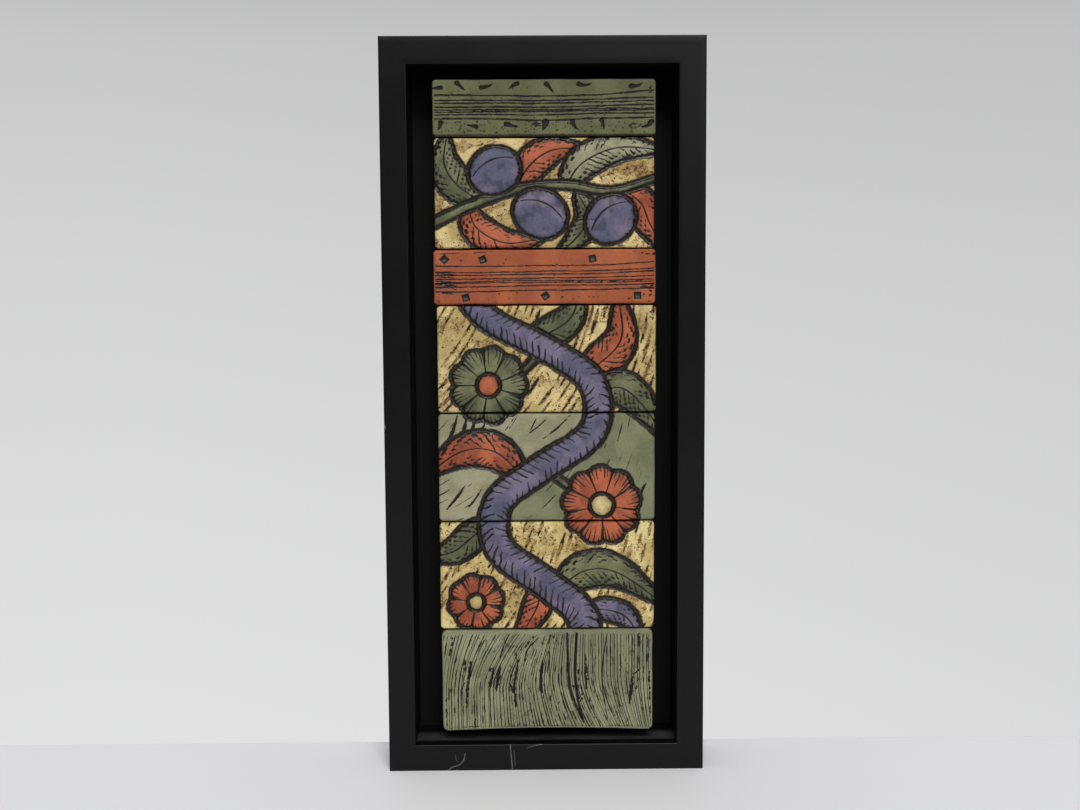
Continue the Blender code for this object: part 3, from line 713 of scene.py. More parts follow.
combedTile = {
    "node": "combed_tile",
    "slot": "glaze_sage",
    "look": {**plainLook, "stainTone": (84, 64, 50), "speckFrom": 0.72, "washTone": (17, 14, 10)},
    "pitch": (0.235, 0.62),
    "arch": 1.6,
    "linePitch": 1.95,
    "lineDepth": 0.55,
    "corner": 4.2,
    "topLean": (0.145, -0.25, 0.23),
    "footLean": (0.095, 0.17, 0.27),
    "leanPower": 1.6,
    "bodies": (0.10, 0.28),
    "hairDepth": 0.14,
    # the share by which the top rim's glaze is darkened, a painted shade
    "topRollPaintedShade": 0.16,
    "bluntStrokes": 2,
    "strokeDepth": 0.45,
    # bold strokes: points in millimetres from the tile's lower left corner, and the half width
    "strokes": (
        (((87.9, 70), (88.4, 50), (89.2, 33), (92.2, 21), (99.2, 4.8)), 0.82),
        (((94.6, 70), (93.4, 47), (93.8, 34), (95.4, 21), (98.9, 6.9)), 0.98),
        (((95.6, 43), (96.2, 31)), 0.70), (((86.7, 31.6), (92.5, 31.2), (97.7, 29.4)), 0.34),
        (((9.0, 2.7), (40.0, 2.2), (75.0, 2.0), (110.0, 2.2), (141.0, 2.7)), 0.14),
        (((100.6, 54), (100.9, 38), (101.4, 29)), 0.55),
        (((115.8, 69), (112.7, 47), (112.8, 30), (116.2, 7)), 0.42),
        (((133.8, 38), (132.8, 30), (131.8, 19)), 1.00), (((136.9, 37), (136.3, 27)), 0.55),
        (((134.0, 40), (137.0, 42), (139.6, 44.6)), 0.50), (((7.4, 67), (5.2, 55)), 0.85),
        (((16.2, 50), (16.4, 44)), 0.75), (((20.6, 50), (19.2, 42), (17.6, 28), (16.9, 16)), 0.70),
        (((24.0, 18), (23.0, 3)), 0.40), (((33.0, 44), (36.5, 41)), 0.60),
        (((40.4, 45), (39.0, 38), (38.3, 29)), 0.95),
        (((53.4, 50), (51.6, 38), (50.6, 29), (51.8, 16)), 0.85), (((48.0, 40), (47.2, 27)), 0.50),
        (((70.4, 50), (69.4, 38), (70.0, 27)), 0.85), (((75.4, 57), (75.3, 46), (75.0, 29)), 0.35),
        (((76.0, 24), (77.0, 14)), 0.45), (((60.6, 7.5), (64.4, 3.2)), 0.45),
        (((79.5, 10), (84.2, 3.6)), 0.40), (((44.0, 68), (36.0, 56)), 0.30),
        (((68.0, 67), (60.0, 58), (57.0, 46)), 0.45), (((138.5, 70), (138.5, 60)), 0.35),
        (((106.0, 18), (107.0, 8)), 0.40), (((7.8, 64), (4.8, 55)), 0.80), (((15.8, 51), (15.4, 45)), 0.70),
        (((19.6, 50), (19.0, 40)), 0.80), (((34.4, 46), (33.2, 43)), 0.90),
        (((40.8, 46), (40.2, 33)), 0.90), (((36.2, 46), (35.0, 38), (34.6, 32)), 0.55),
        (((49.0, 42), (48.2, 38)), 0.90), (((52.4, 56), (51.6, 46)), 0.55),
        (((47.6, 33), (49.8, 27)), 0.80), (((71.6, 33), (72.2, 26)), 0.60),
        (((101.6, 46), (102.4, 36)), 0.70), (((103.4, 24), (104.0, 20)), 0.60),
        (((97.4, 32), (98.8, 22)), 0.80), (((2.6, 24), (3.0, 4)), 0.60), (((6.6, 32), (6.2, 4)), 0.35),
        (((145.6, 42), (146.2, 22)), 0.55), (((64.0, 68), (58.6, 60)), 0.60),
        (((46.5, 68), (43.0, 60), (40.6, 52)), 0.45), (((26.0, 58), (30.0, 65)), 0.45),
    ),
}


def combedSurface():
    # The tile is cut into leaning lanes with one groove to each, at its own place and of its own width, and
    # a finer lane of hairlines between. A noise stretched along the lines says where a groove runs black.
    style = combedTile
    canvas = tileCanvas(style["node"], style["pitch"], corner=style["corner"])
    u, v = canvas.u, canvas.v
    up = v / canvas.height + 0.5
    canvas.glaze = firedGlaze("combedSage", u, v, 300)
    # A point belongs to the line that starts at this share across: its own share less that line's lean,
    # found by putting each guess back into the lean
    start = u / canvas.width
    leans = (
        (style["topLean"], np.clip((up - 0.4) / 0.6, 0, 1) ** style["leanPower"]),
        (style["footLean"], np.clip((0.55 - up) / 0.55, 0, 1) ** style["leanPower"]),
    )
    for _ in range(8):
        lean = sum(far * np.exp(-(((start - at) / wide) ** 2)) * rise for (far, at, wide), rise in leans)
        start = u / canvas.width - lean
    across = start * canvas.width
    across = across + 1.5 * (noiseAlong(across, 7, 310) - 0.5) + 0.5 * swing(across, v, (9, 30), 312)
    lane = across / style["linePitch"]
    index = np.floor(lane).astype(int)
    shifts, bodies = np.random.default_rng(320).random((2, 211))
    centre = 0.5 + 0.5 * (shifts[index % len(shifts)] - 0.5)
    off = np.abs(lane - index - centre) * style["linePitch"]
    body = mix(*style["bodies"], bodies[index % len(bodies)])
    patch = layeredNoise(across, v, (1.5, 7), 330) + 0.25 * swing(u, v, (26, 22), 333)
    patch += 0.22 * swing(u, v, (1.3, 2.2), 336)
    black = smooth((patch - 0.64) / 0.06)
    free = smooth((0.965 - up) / 0.02) * smooth((up - 0.012) / 0.015) * smooth((canvas.inset - 0.7) / 0.7)
    # painted shade: the glaze of the top rim is darkened, so the rolled edge that faces up looks less lit
    canvas.glaze *= (1 - style["topRollPaintedShade"] * smooth((up - 0.95) / 0.03))[:, None]
    groove = filled(off - body - 0.34 * black, 0.36) * free
    second = np.abs(np.mod(lane * 2 + 0.31, 1) - 0.5) * style["linePitch"] / 2
    hair = filled(second - 0.05, 0.32) * free * patches(across, v, (3, 18), 340, 0.42, 0.2)
    specks = patches(u, v, (1.3, 2.2), 344, 0.66, 0.05) * patches(u, v, (12, 14), 347, 0.40, 0.2)
    canvas.relief += 0.25 * swing(u, v, (30, 24), 350) + 0.16 * swing(across, v, (2.6, 40), 352)
    canvas.relief -= style["lineDepth"] * groove + style["hairDepth"] * hair
    depthTone = 0.60 + 0.70 * layeredNoise(across, v, (2.4, 9), 360)
    canvas.wash = np.maximum(groove * np.minimum(mix(depthTone, 1.0, black), 1), 0.20 * hair)
    clouds = 0.35 * patches(u, v, (16, 20), 370, 0.5, 0.2)
    canvas.stain = np.maximum(np.maximum(0.8 * groove, clouds), 1.2 * specks * free)
    for k, (points, half) in enumerate(style["strokes"]):
        line = lineThrough(points, 6) - (canvas.width / 2, canvas.height / 2)
        t = np.linspace(0, 1, len(line))
        blunt = 0.85 if k < style["bluntStrokes"] else 0.4
        patchy = half > 0.5 and blunt < 0.5
        width = half * (blunt + (1 - blunt) * np.sin(math.pi * t) ** 0.5) * (1.15 if patchy else 1)
        cutStroke(canvas, line, width, style["strokeDepth"], 1.0, 380 + k, 2.2 if patchy else 0.6)
    # The foot of the tile bows up in the middle: arch * share below the middle * (1 - across^2)
    below = np.clip(0.5 - v / canvas.height, 0, 1)
    canvas.v = v + style["arch"] * below * (1 - (2 * u / canvas.width) ** 2)
    raiseTile(canvas, glazeMaterial("combedGlaze", style["look"]))


print("Combed tile: lines and strokes")
combedSurface()


# Picture tiles: plums and leaves on one, and a vine that winds over the other three

picturePitch = (0.385, 0.385)
carving = {
    "floor": 0.45, "reach": 1.9, "shoulder": 1.8, "depth": 1.05, "rise": 0.2, "crown": 1.0,
    "crownReach": 6.0, "notch": 0.12, "midribHalf": 0.9, "midribDepth": 0.6, "waver": 0.6,
    "margin": 6.0, "creaseDepth": 0.6, "ribDepth": 0.45, "fleckDepth": 0.15, "ink": (0.85, 1.95),
    # the rim share and reach darken the glaze towards each outline, a painted shade; the clouds are the
    # glaze's own mottling
    "rimPaintedShade": 0.26, "rimReach": 3.0, "cloudDim": 0.22, "plumCloudDim": 0.42,
}

# Ribs cut in from an outline, by column: their pitch; their slant; how far in the shortest and the longest
# go, as shares of the figure's half width; their half widths at the rim; how much of that reach one side
# keeps; and how far in, in millimetres, the wash that was left along the rim fades
hatchColumns = ("pitch", "slant", "reach", "half", "lightSide", "smoke")
hatchRows = {
    "leaf": (4.3, 0.9, (0.60, 1.35), (0.75, 1.20), 0.65, 1.9),
    "stem": (5.2, 0.8, (0.05, 0.75), (0.15, 0.50), 0.6, 1.2),
    "trunk": (4.9, 0.6, (0.60, 1.60), (0.70, 1.15), 0.6, 2.4),
    "rosette": (3.3, 0.1, (0.16, 0.55), (0.50, 0.95), 1.0, 2.0),
    "plum": (3.4, 0.6, (0.02, 0.08), (0.20, 0.40), 1.0, 2.6),
    "button": (2.8, 0.4, (0.10, 0.35), (0.25, 0.45), 1.0, 1.2),
}
hatching = {kind: dict(zip(hatchColumns, row)) for kind, row in hatchRows.items()}


def band(kind, points, halfWidths, glaze):
    line = curveThrough(points, 9)
    return {"kind": kind, "line": line, "half": halfWidths(np.linspace(0, 1, len(line))), "glaze": glaze}


def leaf(points, halfWidth, glaze):
    # a band whose half width follows sin(pi t^0.8)^0.75, with t from its stalk to its tip
    return band("leaf", points, lambda t: halfWidth * np.sin(np.pi * t**0.8) ** 0.75 + 0.01, glaze)


def stem(points, start, end, glaze, kind="stem"):
    # a band whose half width goes evenly from its start to its end
    return band(kind, points, lambda t: start + (end - start) * t, glaze)


def disc(kind, centre, radii, glaze, turn=0.0, lobes=0):
    figure = {"kind": kind, "centre": centre, "radii": radii, "glaze": glaze}
    return {**figure, "turn": math.radians(turn), "lobes": lobes}


def plum(centre, radii, turn):
    # an oval, with a shallow arc from end to end for its crease
    t = np.linspace(-0.8, 0.8, 13)
    u, v = turned(t * radii[0], 0.45 * radii[1] * (1 - t * t), -math.radians(turn))
    crease = {"kind": "crease", "line": np.stack([u, v], axis=1) + centre, "half": 0.75 - 0.6 * np.abs(t)}
    return [disc("plum", centre, radii, "purple", turn), crease]


def rosette(centre, radius, lobes, glaze, eyeGlaze, turn=0.0, eye=0.3):
    # a lobed disc, a crease from its eye to the notch between each two petals, and a round eye
    creases = []
    for k in range(lobes):
        angle = math.radians(turn) + (2 * k + 1) * math.pi / lobes
        ray = np.array((math.cos(angle), math.sin(angle)))
        points = np.array(centre) + np.outer(np.linspace(eye, 0.94, 5) * radius, ray)
        creases.append({"kind": "crease", "line": points, "half": np.linspace(0.35, 1.0, 5)})
    eyeDisc = disc("button", centre, (eye * radius, eye * radius), eyeGlaze)
    return [disc("rosette", centre, (radius, radius), glaze, turn, lobes), *creases, eyeDisc]


def fruitSpray():
    return [
        leaf([(-44, -6), (-60, 6), (-68, 20), (-66, 40)], 12, "green"),
        leaf([(-20, 0), (-12, 16), (4, 28), (30, 30)], 11.5, "orange"),
        leaf([(14, 4), (26, 20), (50, 30), (84, 28)], 11.5, "paleSage"),
        leaf([(-52, -10), (-46, -24), (-26, -34), (2, -30)], 11, "orange"),
        leaf([(22, 0), (30, -16), (22, -30), (6, -44)], 9, "green"),
        leaf([(54, 2), (66, -8), (72, -22), (84, -40)], 11.5, "orange"),
        stem([(-84, -24), (-52, -9), (-20, 2), (14, 5), (46, 1), (84, 12)], 3.8, 2.6, "green"),
        *plum((-34, 15), (18.5, 16.5), 24),
        *plum((-3, -14), (19.5, 17), -24),
        *plum((45, -18), (18.5, 16.5), 40),
    ]


trunkLine = (
    (-64, 134), (-40, 104), (-2, 84), (31, 60), (32, 26), (-4, 0), (-34, -24), (-33, -56), (0, -82),
    (24, -104), (26, -134),
)


def windingVine():
    return [
        leaf([(22, 66), (38, 74), (52, 92), (48, 126)], 13, "orange"),
        leaf([(-20, 86), (2, 94), (18, 106), (24, 130)], 11, "green"),
        leaf([(30, 50), (50, 56), (66, 44), (84, 18)], 12.5, "green"),
        leaf([(-16, -6), (-36, 12), (-60, 12), (-86, -6)], 13, "orange"),
        leaf([(-34, -40), (-50, -46), (-66, -58), (-88, -62)], 11, "green"),
        leaf([(6, -86), (26, -72), (50, -74), (84, -98)], 13.5, "green"),
        leaf([(-8, -76), (-6, -92), (-12, -106), (-26, -128)], 10, "orange"),
        leaf([(26, -100), (42, -100), (56, -106), (66, -124)], 9, "purple"),
        stem([(2, 86), (-14, 70), (-28, 60)], 3.0, 2.4, "green"),
        stem([(-2, 0), (14, -12), (24, -20)], 3.0, 2.4, "green"),
        stem(trunkLine, 8.5, 11.5, "purple", "trunk"),
        *rosette((-40, 58), 27, 9, "green", "orange"),
        *rosette((38, -26), 28, 9, "orange", "cream", 12),
        *rosette((-50, -94), 20, 8, "orange", "cream", 12),
    ]


def discPlaces(x, z, figure):
    # How far outside an oval of half axes a and b each point is, measured along its own ray, where the
    # outline is at a b / hypot(b cos, a sin), less the notch times 1 - |cos(lobes angle / 2)|^0.8
    u, v = turned(x - figure["centre"][0], z - figure["centre"][1], figure["turn"])
    angle, off = np.arctan2(v, u), np.hypot(u, v)
    a, b = figure["radii"]
    radius = a * b / np.hypot(b * np.cos(angle), a * np.sin(angle))
    if figure["lobes"]:
        petal = np.abs(np.cos(figure["lobes"] * angle / 2)) ** 0.8
        radius = radius * (1 - carving["notch"] * (1 - petal))
    pitch = hatching[figure["kind"]]["pitch"]
    along = angle / (2 * math.pi) * round(math.pi * (a + b) / pitch) * pitch
    return {"edge": off - radius, "along": along, "side": np.ones(x.shape), "off": off}


def hatch(x, z, place, inside, style, seed):
    # The way along the outline, sheared by the slant, is cut into places with one rib to each. A rib goes
    # in by its own share of the half width and narrows to nothing there, as what is left to the power 0.4.
    half = np.maximum(place["off"] - place["edge"], 0.5)
    sheared = (place["along"] + style["slant"] * inside) / style["pitch"]
    lane = sheared + 0.5 * place["side"] + 0.45 * swing(x, z, (5, 5), seed)
    index = np.floor(lane).astype(int)
    reaches, shifts, halves, strengths = np.random.default_rng(seed).random((4, 307))
    pick = (index * 2 + (place["side"] > 0)) % len(reaches)
    reach = mix(*style["reach"], reaches[pick]) * half
    reach = reach * np.where(place["side"] > 0, style["lightSide"], 1.0)
    left = np.clip(1 - inside / np.maximum(reach, 0.05), 0, 1)
    off = np.abs(lane - index - 0.5 - 0.3 * (shifts[pick] - 0.5)) * style["pitch"]
    width = mix(*style["half"], halves[pick]) * left**0.4
    fray = 0.35 * swing(x, z, (1.5, 1.5), seed + 5)
    return filled(off - width + fray, 0.7) * smooth(left / 0.15) * mix(0.8, 1.0, strengths[pick])


def layFigure(canvas, figure, seed):
    # Outside the outline the ground dips into the groove; inside, the body rises from the groove over its
    # shoulder to a crown that follows a quarter sine. The dark wash fills the groove and every stroke.
    isDisc = "centre" in figure
    spine = np.array([figure["centre"]]) if isDisc else figure["line"]
    halfWidths = figure["radii"] if isDisc else figure["half"]
    near = nearTo(canvas, spine, max(halfWidths) + carving["margin"])
    if not len(near):
        return
    x, z = canvas.x[near], canvas.z[near]
    place = discPlaces(x, z, figure) if isDisc else bandPlaces(x, z, spine, halfWidths)
    edge = place["edge"] + carving["waver"] * swing(x, z, (6, 6), 31)
    if figure["kind"] == "crease":
        cut = filled(edge, 0.45)
        canvas.relief[near] -= carving["creaseDepth"] * cut
        lift(canvas.wash, cut, near)
        return
    style = hatching[figure["kind"]]
    within, inside = edge < 0, -edge
    outer = smooth(1 - (edge - carving["floor"]) / carving["reach"])
    shoulder = smooth((inside - carving["floor"]) / carving["shoulder"])
    rising = np.clip((inside - carving["shoulder"]) / carving["crownReach"], 0, 1)
    body = -carving["depth"] + (carving["depth"] + carving["rise"]) * shoulder
    body = body + carving["crown"] * np.sin(rising * math.pi / 2)
    ink = mix(*carving["ink"], layeredNoise(x, z, (4, 4), seed))
    line = filled(np.abs(edge) - ink, 0.8)
    brushed = noiseAlong(place["along"] + 0.5 * inside + 300 * place["side"], 1.3, seed + 15)
    smoke = smooth(1.2 - (inside - ink) / style["smoke"] - brushed * 1.1) * 0.85
    strokes = hatch(x, z, place, inside, style, seed + 3)
    flecks = 0.9 * patches(x, z, (1.5, 1.2), seed + 17, 0.81, 0.05)
    dark = np.maximum(np.maximum(line, smoke), np.maximum(strokes, flecks))
    if figure["kind"] == "leaf":
        raised = smooth(rising / 0.3)
        body = body - carving["midribDepth"] * smooth(1 - place["off"] / carving["midribHalf"]) * raised
        midrib = mix(0.3, 0.75, layeredNoise(x, z, (5, 5), seed + 18))
        dark = np.maximum(dark, filled(place["off"] - midrib, 0.4) * raised)
    uneven = 0.24 * swing(x, z, (3.0, 3.0), seed + 9) * smooth((inside - 1.2) / 1.5)
    body = body - carving["ribDepth"] * strokes - carving["fleckDepth"] * flecks + uneven
    halo = smooth(1 - (edge - ink) / 1.6) * mix(0.4, 1.3, layeredNoise(x, z, (2.4, 2.4), 41))
    stain, ground = canvas.stain[near], canvas.ground[near]
    canvas.relief[near] = np.where(within, body, mix(canvas.relief[near], -carving["depth"], outer))
    canvas.wash[near] = np.where(within, dark, np.maximum(canvas.wash[near], line))
    canvas.stain[near] = np.where(within, 0.0, np.where(ground, np.maximum(stain, halo), stain))
    # the glaze darkens towards the outline, a painted shade, and in soft clouds of its own mottling
    cloudDim = carving["plumCloudDim" if figure["kind"] == "plum" else "cloudDim"]
    paintedShadeAndMottle = carving["rimPaintedShade"] * smooth(1 - (inside - ink) / carving["rimReach"])
    paintedShadeAndMottle = paintedShadeAndMottle + cloudDim * patches(x, z, (5, 6), seed + 19, 0.50, 0.2)
    fired = firedGlaze(figure["glaze"], x, z, seed + 13) * (1 - paintedShadeAndMottle)[:, None]
    canvas.glaze[near] = np.where(within[:, None], fired, canvas.glaze[near])
    canvas.ground[near] = ground & ~within


# Grounds: how the bare clay between the figures was scored

groundStyles = {
    "fruit_tile": {
        "lean": 8, "bend": 0.002, "lane": 6.5, "place": 15, "length": (1.5, 5), "half": (0.12, 0.40),
        "chance": 0.45, "depth": 0.30, "wash": 0.60, "stain": 0.85, "crackle": 1.0,
        "grain": 0.60, "brown": 0.5,
    },
    "vine_tile_upper": {
        "lean": 62, "bend": -0.003, "lane": 5.0, "place": 25, "length": (7, 15), "half": (0.40, 1.10),
        "chance": 0.92, "depth": 0.75, "wash": 0.80, "stain": 0.70, "crackle": 0.8,
        "grain": 0.70, "brown": 0.5,
    },
    "vine_tile_middle": {
        "lean": 54, "bend": -0.004, "lane": 6.5, "place": 24, "length": (2, 8), "half": (0.16, 0.55),
        "chance": 0.62, "depth": 0.35, "wash": 0.90, "stain": 0.12, "crackle": 0.1,
        "grain": 0.18, "brown": 0.15,
    },
    "vine_tile_lower": {
        "lean": 66, "bend": -0.002, "lane": 4.7, "place": 22, "length": (5, 13), "half": (0.35, 1.00),
        "chance": 0.86, "depth": 0.60, "wash": 0.76, "stain": 0.72, "crackle": 0.8,
        "grain": 0.70, "brown": 0.6,
    },
}
# Bold gouges in the sage ground: points in millimetres from the tile's upper left corner, and half width
sageGouges = (
    (((13.5, 1.0), (9.0, 14.5), (1.5, 27.0)), 1.35), (((20.2, 1.0), (16.5, 14.5), (6.8, 32.5)), 1.45),
    (((26.2, 1.0), (22.5, 13.0), (14.2, 26.5)), 1.30), (((34.5, 1.0), (29.0, 13.0), (19.0, 22.0)), 0.90),
    (((54.0, 1.0), (46.5, 11.5)), 0.60), (((91.5, 1.0), (82.5, 10.0), (72.0, 18.0)), 0.55),
    (((75.7, 3.3), (68.0, 10.0), (61.5, 14.5)), 0.40), (((47.0, 65.5), (43.5, 70.0), (40.0, 73.5)), 0.50),
    (((97.8, 65.5), (94.0, 69.5), (89.5, 73.0)), 0.50),
    (((144.0, 49.0), (141.5, 53.0), (140.5, 57.0)), 1.20),
    (((140.5, 57.0), (135.0, 65.5), (130.0, 73.0)), 0.50),
    (((30.0, 52.0), (24.0, 61.0), (20.0, 66.0)), 0.70), (((18.0, 50.0), (12.5, 58.0), (5.0, 67.0)), 1.00),
)


def scoreGround(canvas, style, seed):
    # The plane is turned by the lean and bent, then cut into lanes, and each lane into places: a stroke has
    # its own spot, length and width there, and thins to both ends as the root of 1 - t^2
    x, z = canvas.u, canvas.v
    along, across = turned(x, z, math.radians(style["lean"]))
    across = across + style["bend"] * along**2 + 1.2 * swing(x, z, (22, 22), seed)
    lane = np.floor(across / style["lane"]).astype(int)
    starts, spots, lengths, shifts, chances = np.random.default_rng(seed + 1).random((5, 397))
    shift = starts[lane % len(starts)] * style["place"]
    spot = np.floor((along + shift) / style["place"]).astype(int)
    pick = (lane * 37 + spot * 101) % len(starts)
    middle = (spot + 0.5 + 0.3 * (spots[pick] - 0.5)) * style["place"] - shift
    taper = np.sqrt(np.clip(1 - ((along - middle) / mix(*style["length"], lengths[pick])) ** 2, 0, 1))
    off = np.abs(across / style["lane"] - lane - 0.5 - 0.35 * (shifts[pick] - 0.5)) * style["lane"]
    there = (chances[pick] < style["chance"]) & (taper > 0)
    pressure = mix(0.6, 1.4, layeredNoise(x, z, (3, 3), seed + 5))
    width = mix(*style["half"], lengths[pick - 1]) * taper * pressure
    cut = filled(off - width + 0.5 * swing(x, z, (1.2, 1.2), seed + 9), 0.5) * there
    rough = mix(0.5, 1.4, layeredNoise(x, z, (1.8, 1.8), seed + 11))
    beside = smooth(1 - (off - width) / 1.8) * there * taper * rough
    clouds = patches(x, z, (11, 8), seed + 17, 0.44, 0.22)
    # crackle runs where a soft noise crosses its middle value, in patches
    veins = smooth(1.2 - np.abs(swing(x, z, (2.1, 1.6), seed + 21)) / 0.05)
    cracked = patches(x, z, (9, 6.5), seed + 25, 0.42, 0.12)
    crackle = veins * cracked * style["crackle"]
    canvas.relief += style["grain"] * swing(along, across, (7, 1.8), seed + 13)
    canvas.relief += 0.50 * style["grain"] * swing(x, z, (1.6, 1.3), seed + 15)
    canvas.relief -= style["depth"] * cut + 0.2 * crackle
    # the wash lies thin and brown in places, and dark in others
    thin = 1 - style["brown"] * patches(x, z, (4, 3), seed + 29, 0.36, 0.2)
    lift(canvas.wash, np.maximum(style["wash"] * cut, 0.80 * crackle) * thin)
    lift(canvas.stain, np.maximum(clouds * style["stain"], beside * min(1.0, style["stain"] * 1.4)))
    lift(canvas.stain, 1.1 * smooth(veins + 0.3) * cracked * style["crackle"])


def gougeSage(canvas):
    # the bold gouges, each half width following a sine that leaves its ends blunt
    corner = np.array((canvas.x.min(), canvas.z.max()))
    for k, (points, half) in enumerate(sageGouges):
        line = lineThrough(points, 8)
        widths = half * np.sin(math.pi * np.linspace(0.06, 0.94, len(line)))
        cutStroke(canvas, corner + line * (1, -1), widths, 0.7, 1.0, 480 + k, 0.9)


def pictureTile(node, figures, origin, look, glaze, seed):
    canvas = tileCanvas(node, picturePitch, origin)
    x, z = canvas.x, canvas.z
    isSage = node == "vine_tile_middle"
    canvas.glaze = firedGlaze(glaze, x, z, seed)
    if isSage:
        # the ground is the deeper sage on the right of the trunk
        middles = np.array(trunkLine[::-1], float)
        rightOf = x > np.interp(z, middles[:, 1], middles[:, 0])
        canvas.glaze = np.where(rightOf[:, None], firedGlaze("midSage", x, z, seed + 1), canvas.glaze)
    scoreGround(canvas, groundStyles[node], seed + 2)
    if isSage:
        gougeSage(canvas)
    for k, figure in enumerate(figures):
        layFigure(canvas, figure, 500 + 20 * k)
    raiseTile(canvas, glazeMaterial(node + "Glaze", look))


def fieldMiddle(*nodes):
    # the middle, across and up, of the rectangle that these tiles fill together
    boxes = np.array([boxOf(node) for node in nodes])
    across = (boxes[:, 0, 0] + boxes[:, 1, 0]).mean() / 2
    return across, (boxes[:, 1, 2].max() + boxes[:, 0, 2].min()) / 2


print("Picture tiles: plums and leaves, then the winding vine")
vineMiddle = fieldMiddle("vine_tile_upper", "vine_tile_middle", "vine_tile_lower")
pictureTile("fruit_tile", fruitSpray(), fieldMiddle("fruit_tile"), creamLook, "cream", 400)
pictureTile("vine_tile_upper", windingVine(), vineMiddle, creamLook, "cream", 420)
pictureTile("vine_tile_middle", windingVine(), vineMiddle, plainLook, "paleSage", 440)
# the lowest tile wears the cream painted lighter, painted light for the brighter foot
pictureTile("vine_tile_lower", windingVine(), vineMiddle, creamLook, "creamPaintedLighter", 460)


# Frame: four mitred rails of one section, and the boards behind the tiles

rail = {
    "width": 18.6, "arris": 0.8, "arrisSteps": 7, "rabbet": 8.0, "rabbetDepth": 5.3, "mitreGap": 0.01,
    "faceSteps": 46, "alongSteps": 520, "wallSteps": 24,
}
# steps across the face, over the wall and along a rail that has no scuffs
plainSteps = (4, 1, 24)
# a painted reflection, a pale band on the floor of the opening: how far behind the front it starts and
# ends, and its strength
floorPaintedReflection = {"from": 8.0, "to": 30.0, "strength": 0.21}
# light scratches on the bottom rail and the left stile: points in millimetres, half width and strength
scuffs = {
    "frame_bottom_rail": (
        (((-69.0, -252.2), (-66.3, -250.1), (-61.3, -248.4), (-58.2, -245.2), (-56.8, -240.4)), 0.26, 0.8),
        (((-64.0, -241.0), (-62.6, -245.8)), 0.22, 0.4), (((-63.0, -252.2), (-62.2, -251.8)), 0.30, 0.5),
        (((-25.2, -234.2), (-25.0, -237.9), (-24.1, -248.1), (-23.8, -252.1)), 0.26, 0.8),
        (((-22.7, -237.9), (-21.9, -249.3)), 0.24, 0.35),
        (((-13.0, -236.4), (-7.0, -234.6), (-2.5, -234.1)), 0.26, 0.5),
    ),
    "frame_left_stile": (
        (((-109.7, -8.6), (-109.3, -11.0)), 0.40, 0.9),
    ),
}
# each rail's way outward and its way along, as (x, z)
railSides = {
    "frame_top_rail": ((0, 1), (1, 0)),
    "frame_bottom_rail": ((0, -1), (1, 0)),
    "frame_left_stile": ((-1, 0), (0, 1)),
    "frame_right_stile": ((1, 0), (0, 1)),
}


def railSection(front, faceSteps, wallSteps):
    # Steps outward from the opening, and depths: a rounded arris, the flat front, another arris, the back,
    # the rabbet and the wall of the opening. An arris is a quarter circle.
    r, width = rail["arris"], rail["width"]
    angle = np.linspace(0, math.pi / 2, rail["arrisSteps"])
    inner = np.stack([r - r * np.cos(angle), front + r - r * np.sin(angle)], axis=1)
    flat = np.stack([np.linspace(r, width - r, faceSteps + 1)[1:-1], np.full(faceSteps - 1, front)], axis=1)
    outer = np.stack([width - r + r * np.sin(angle), front + r - r * np.cos(angle)], axis=1)
    rabbet, floor = rail["rabbet"], -rail["rabbetDepth"]
    rear = np.array([(width, 0.0), (rabbet, 0.0), (rabbet, floor)])
    wall = np.linspace(floor, front + r, wallSteps + 1)[:-1]
    return np.vstack([inner, flat, outer, rear, np.stack([wall * 0, wall], axis=1)])


def scratchAndReflectionStrength(node, points, front, opening):
    # the rail's scratches, and on the bottom rail a painted reflection: a pale band on the floor of the
    # opening
    x, y, z = points.T
    scuffAndReflection = np.zeros(len(points))
    for marks, half, strength in scuffs.get(node, ()):
        line = curveThrough(marks, 6)
        edge = bandPlaces(x, z, line, np.full(len(line), half))["edge"]
        lift(scuffAndReflection, strength * filled(edge, 0.4) * (y < front + 0.5))
    if node == "frame_bottom_rail":
        # painted reflection: a pale band on the floor of the opening, from about 8 mm behind the front and
        # fading out by 30 mm, broken by a cloud
        depth = y - front
        onFloor = (z > -opening - 0.01) & (depth > 1)
        extent = smooth((depth - floorPaintedReflection["from"]) / 2.5) * smooth((floorPaintedReflection["to"] - depth) / 10)
        cloud = mix(0.5, 1.4, layeredNoise(x, y, (14, 5), 700))
        lift(scuffAndReflection, onFloor * extent * cloud * floorPaintedReflection["strength"])
    return scuffAndReflection


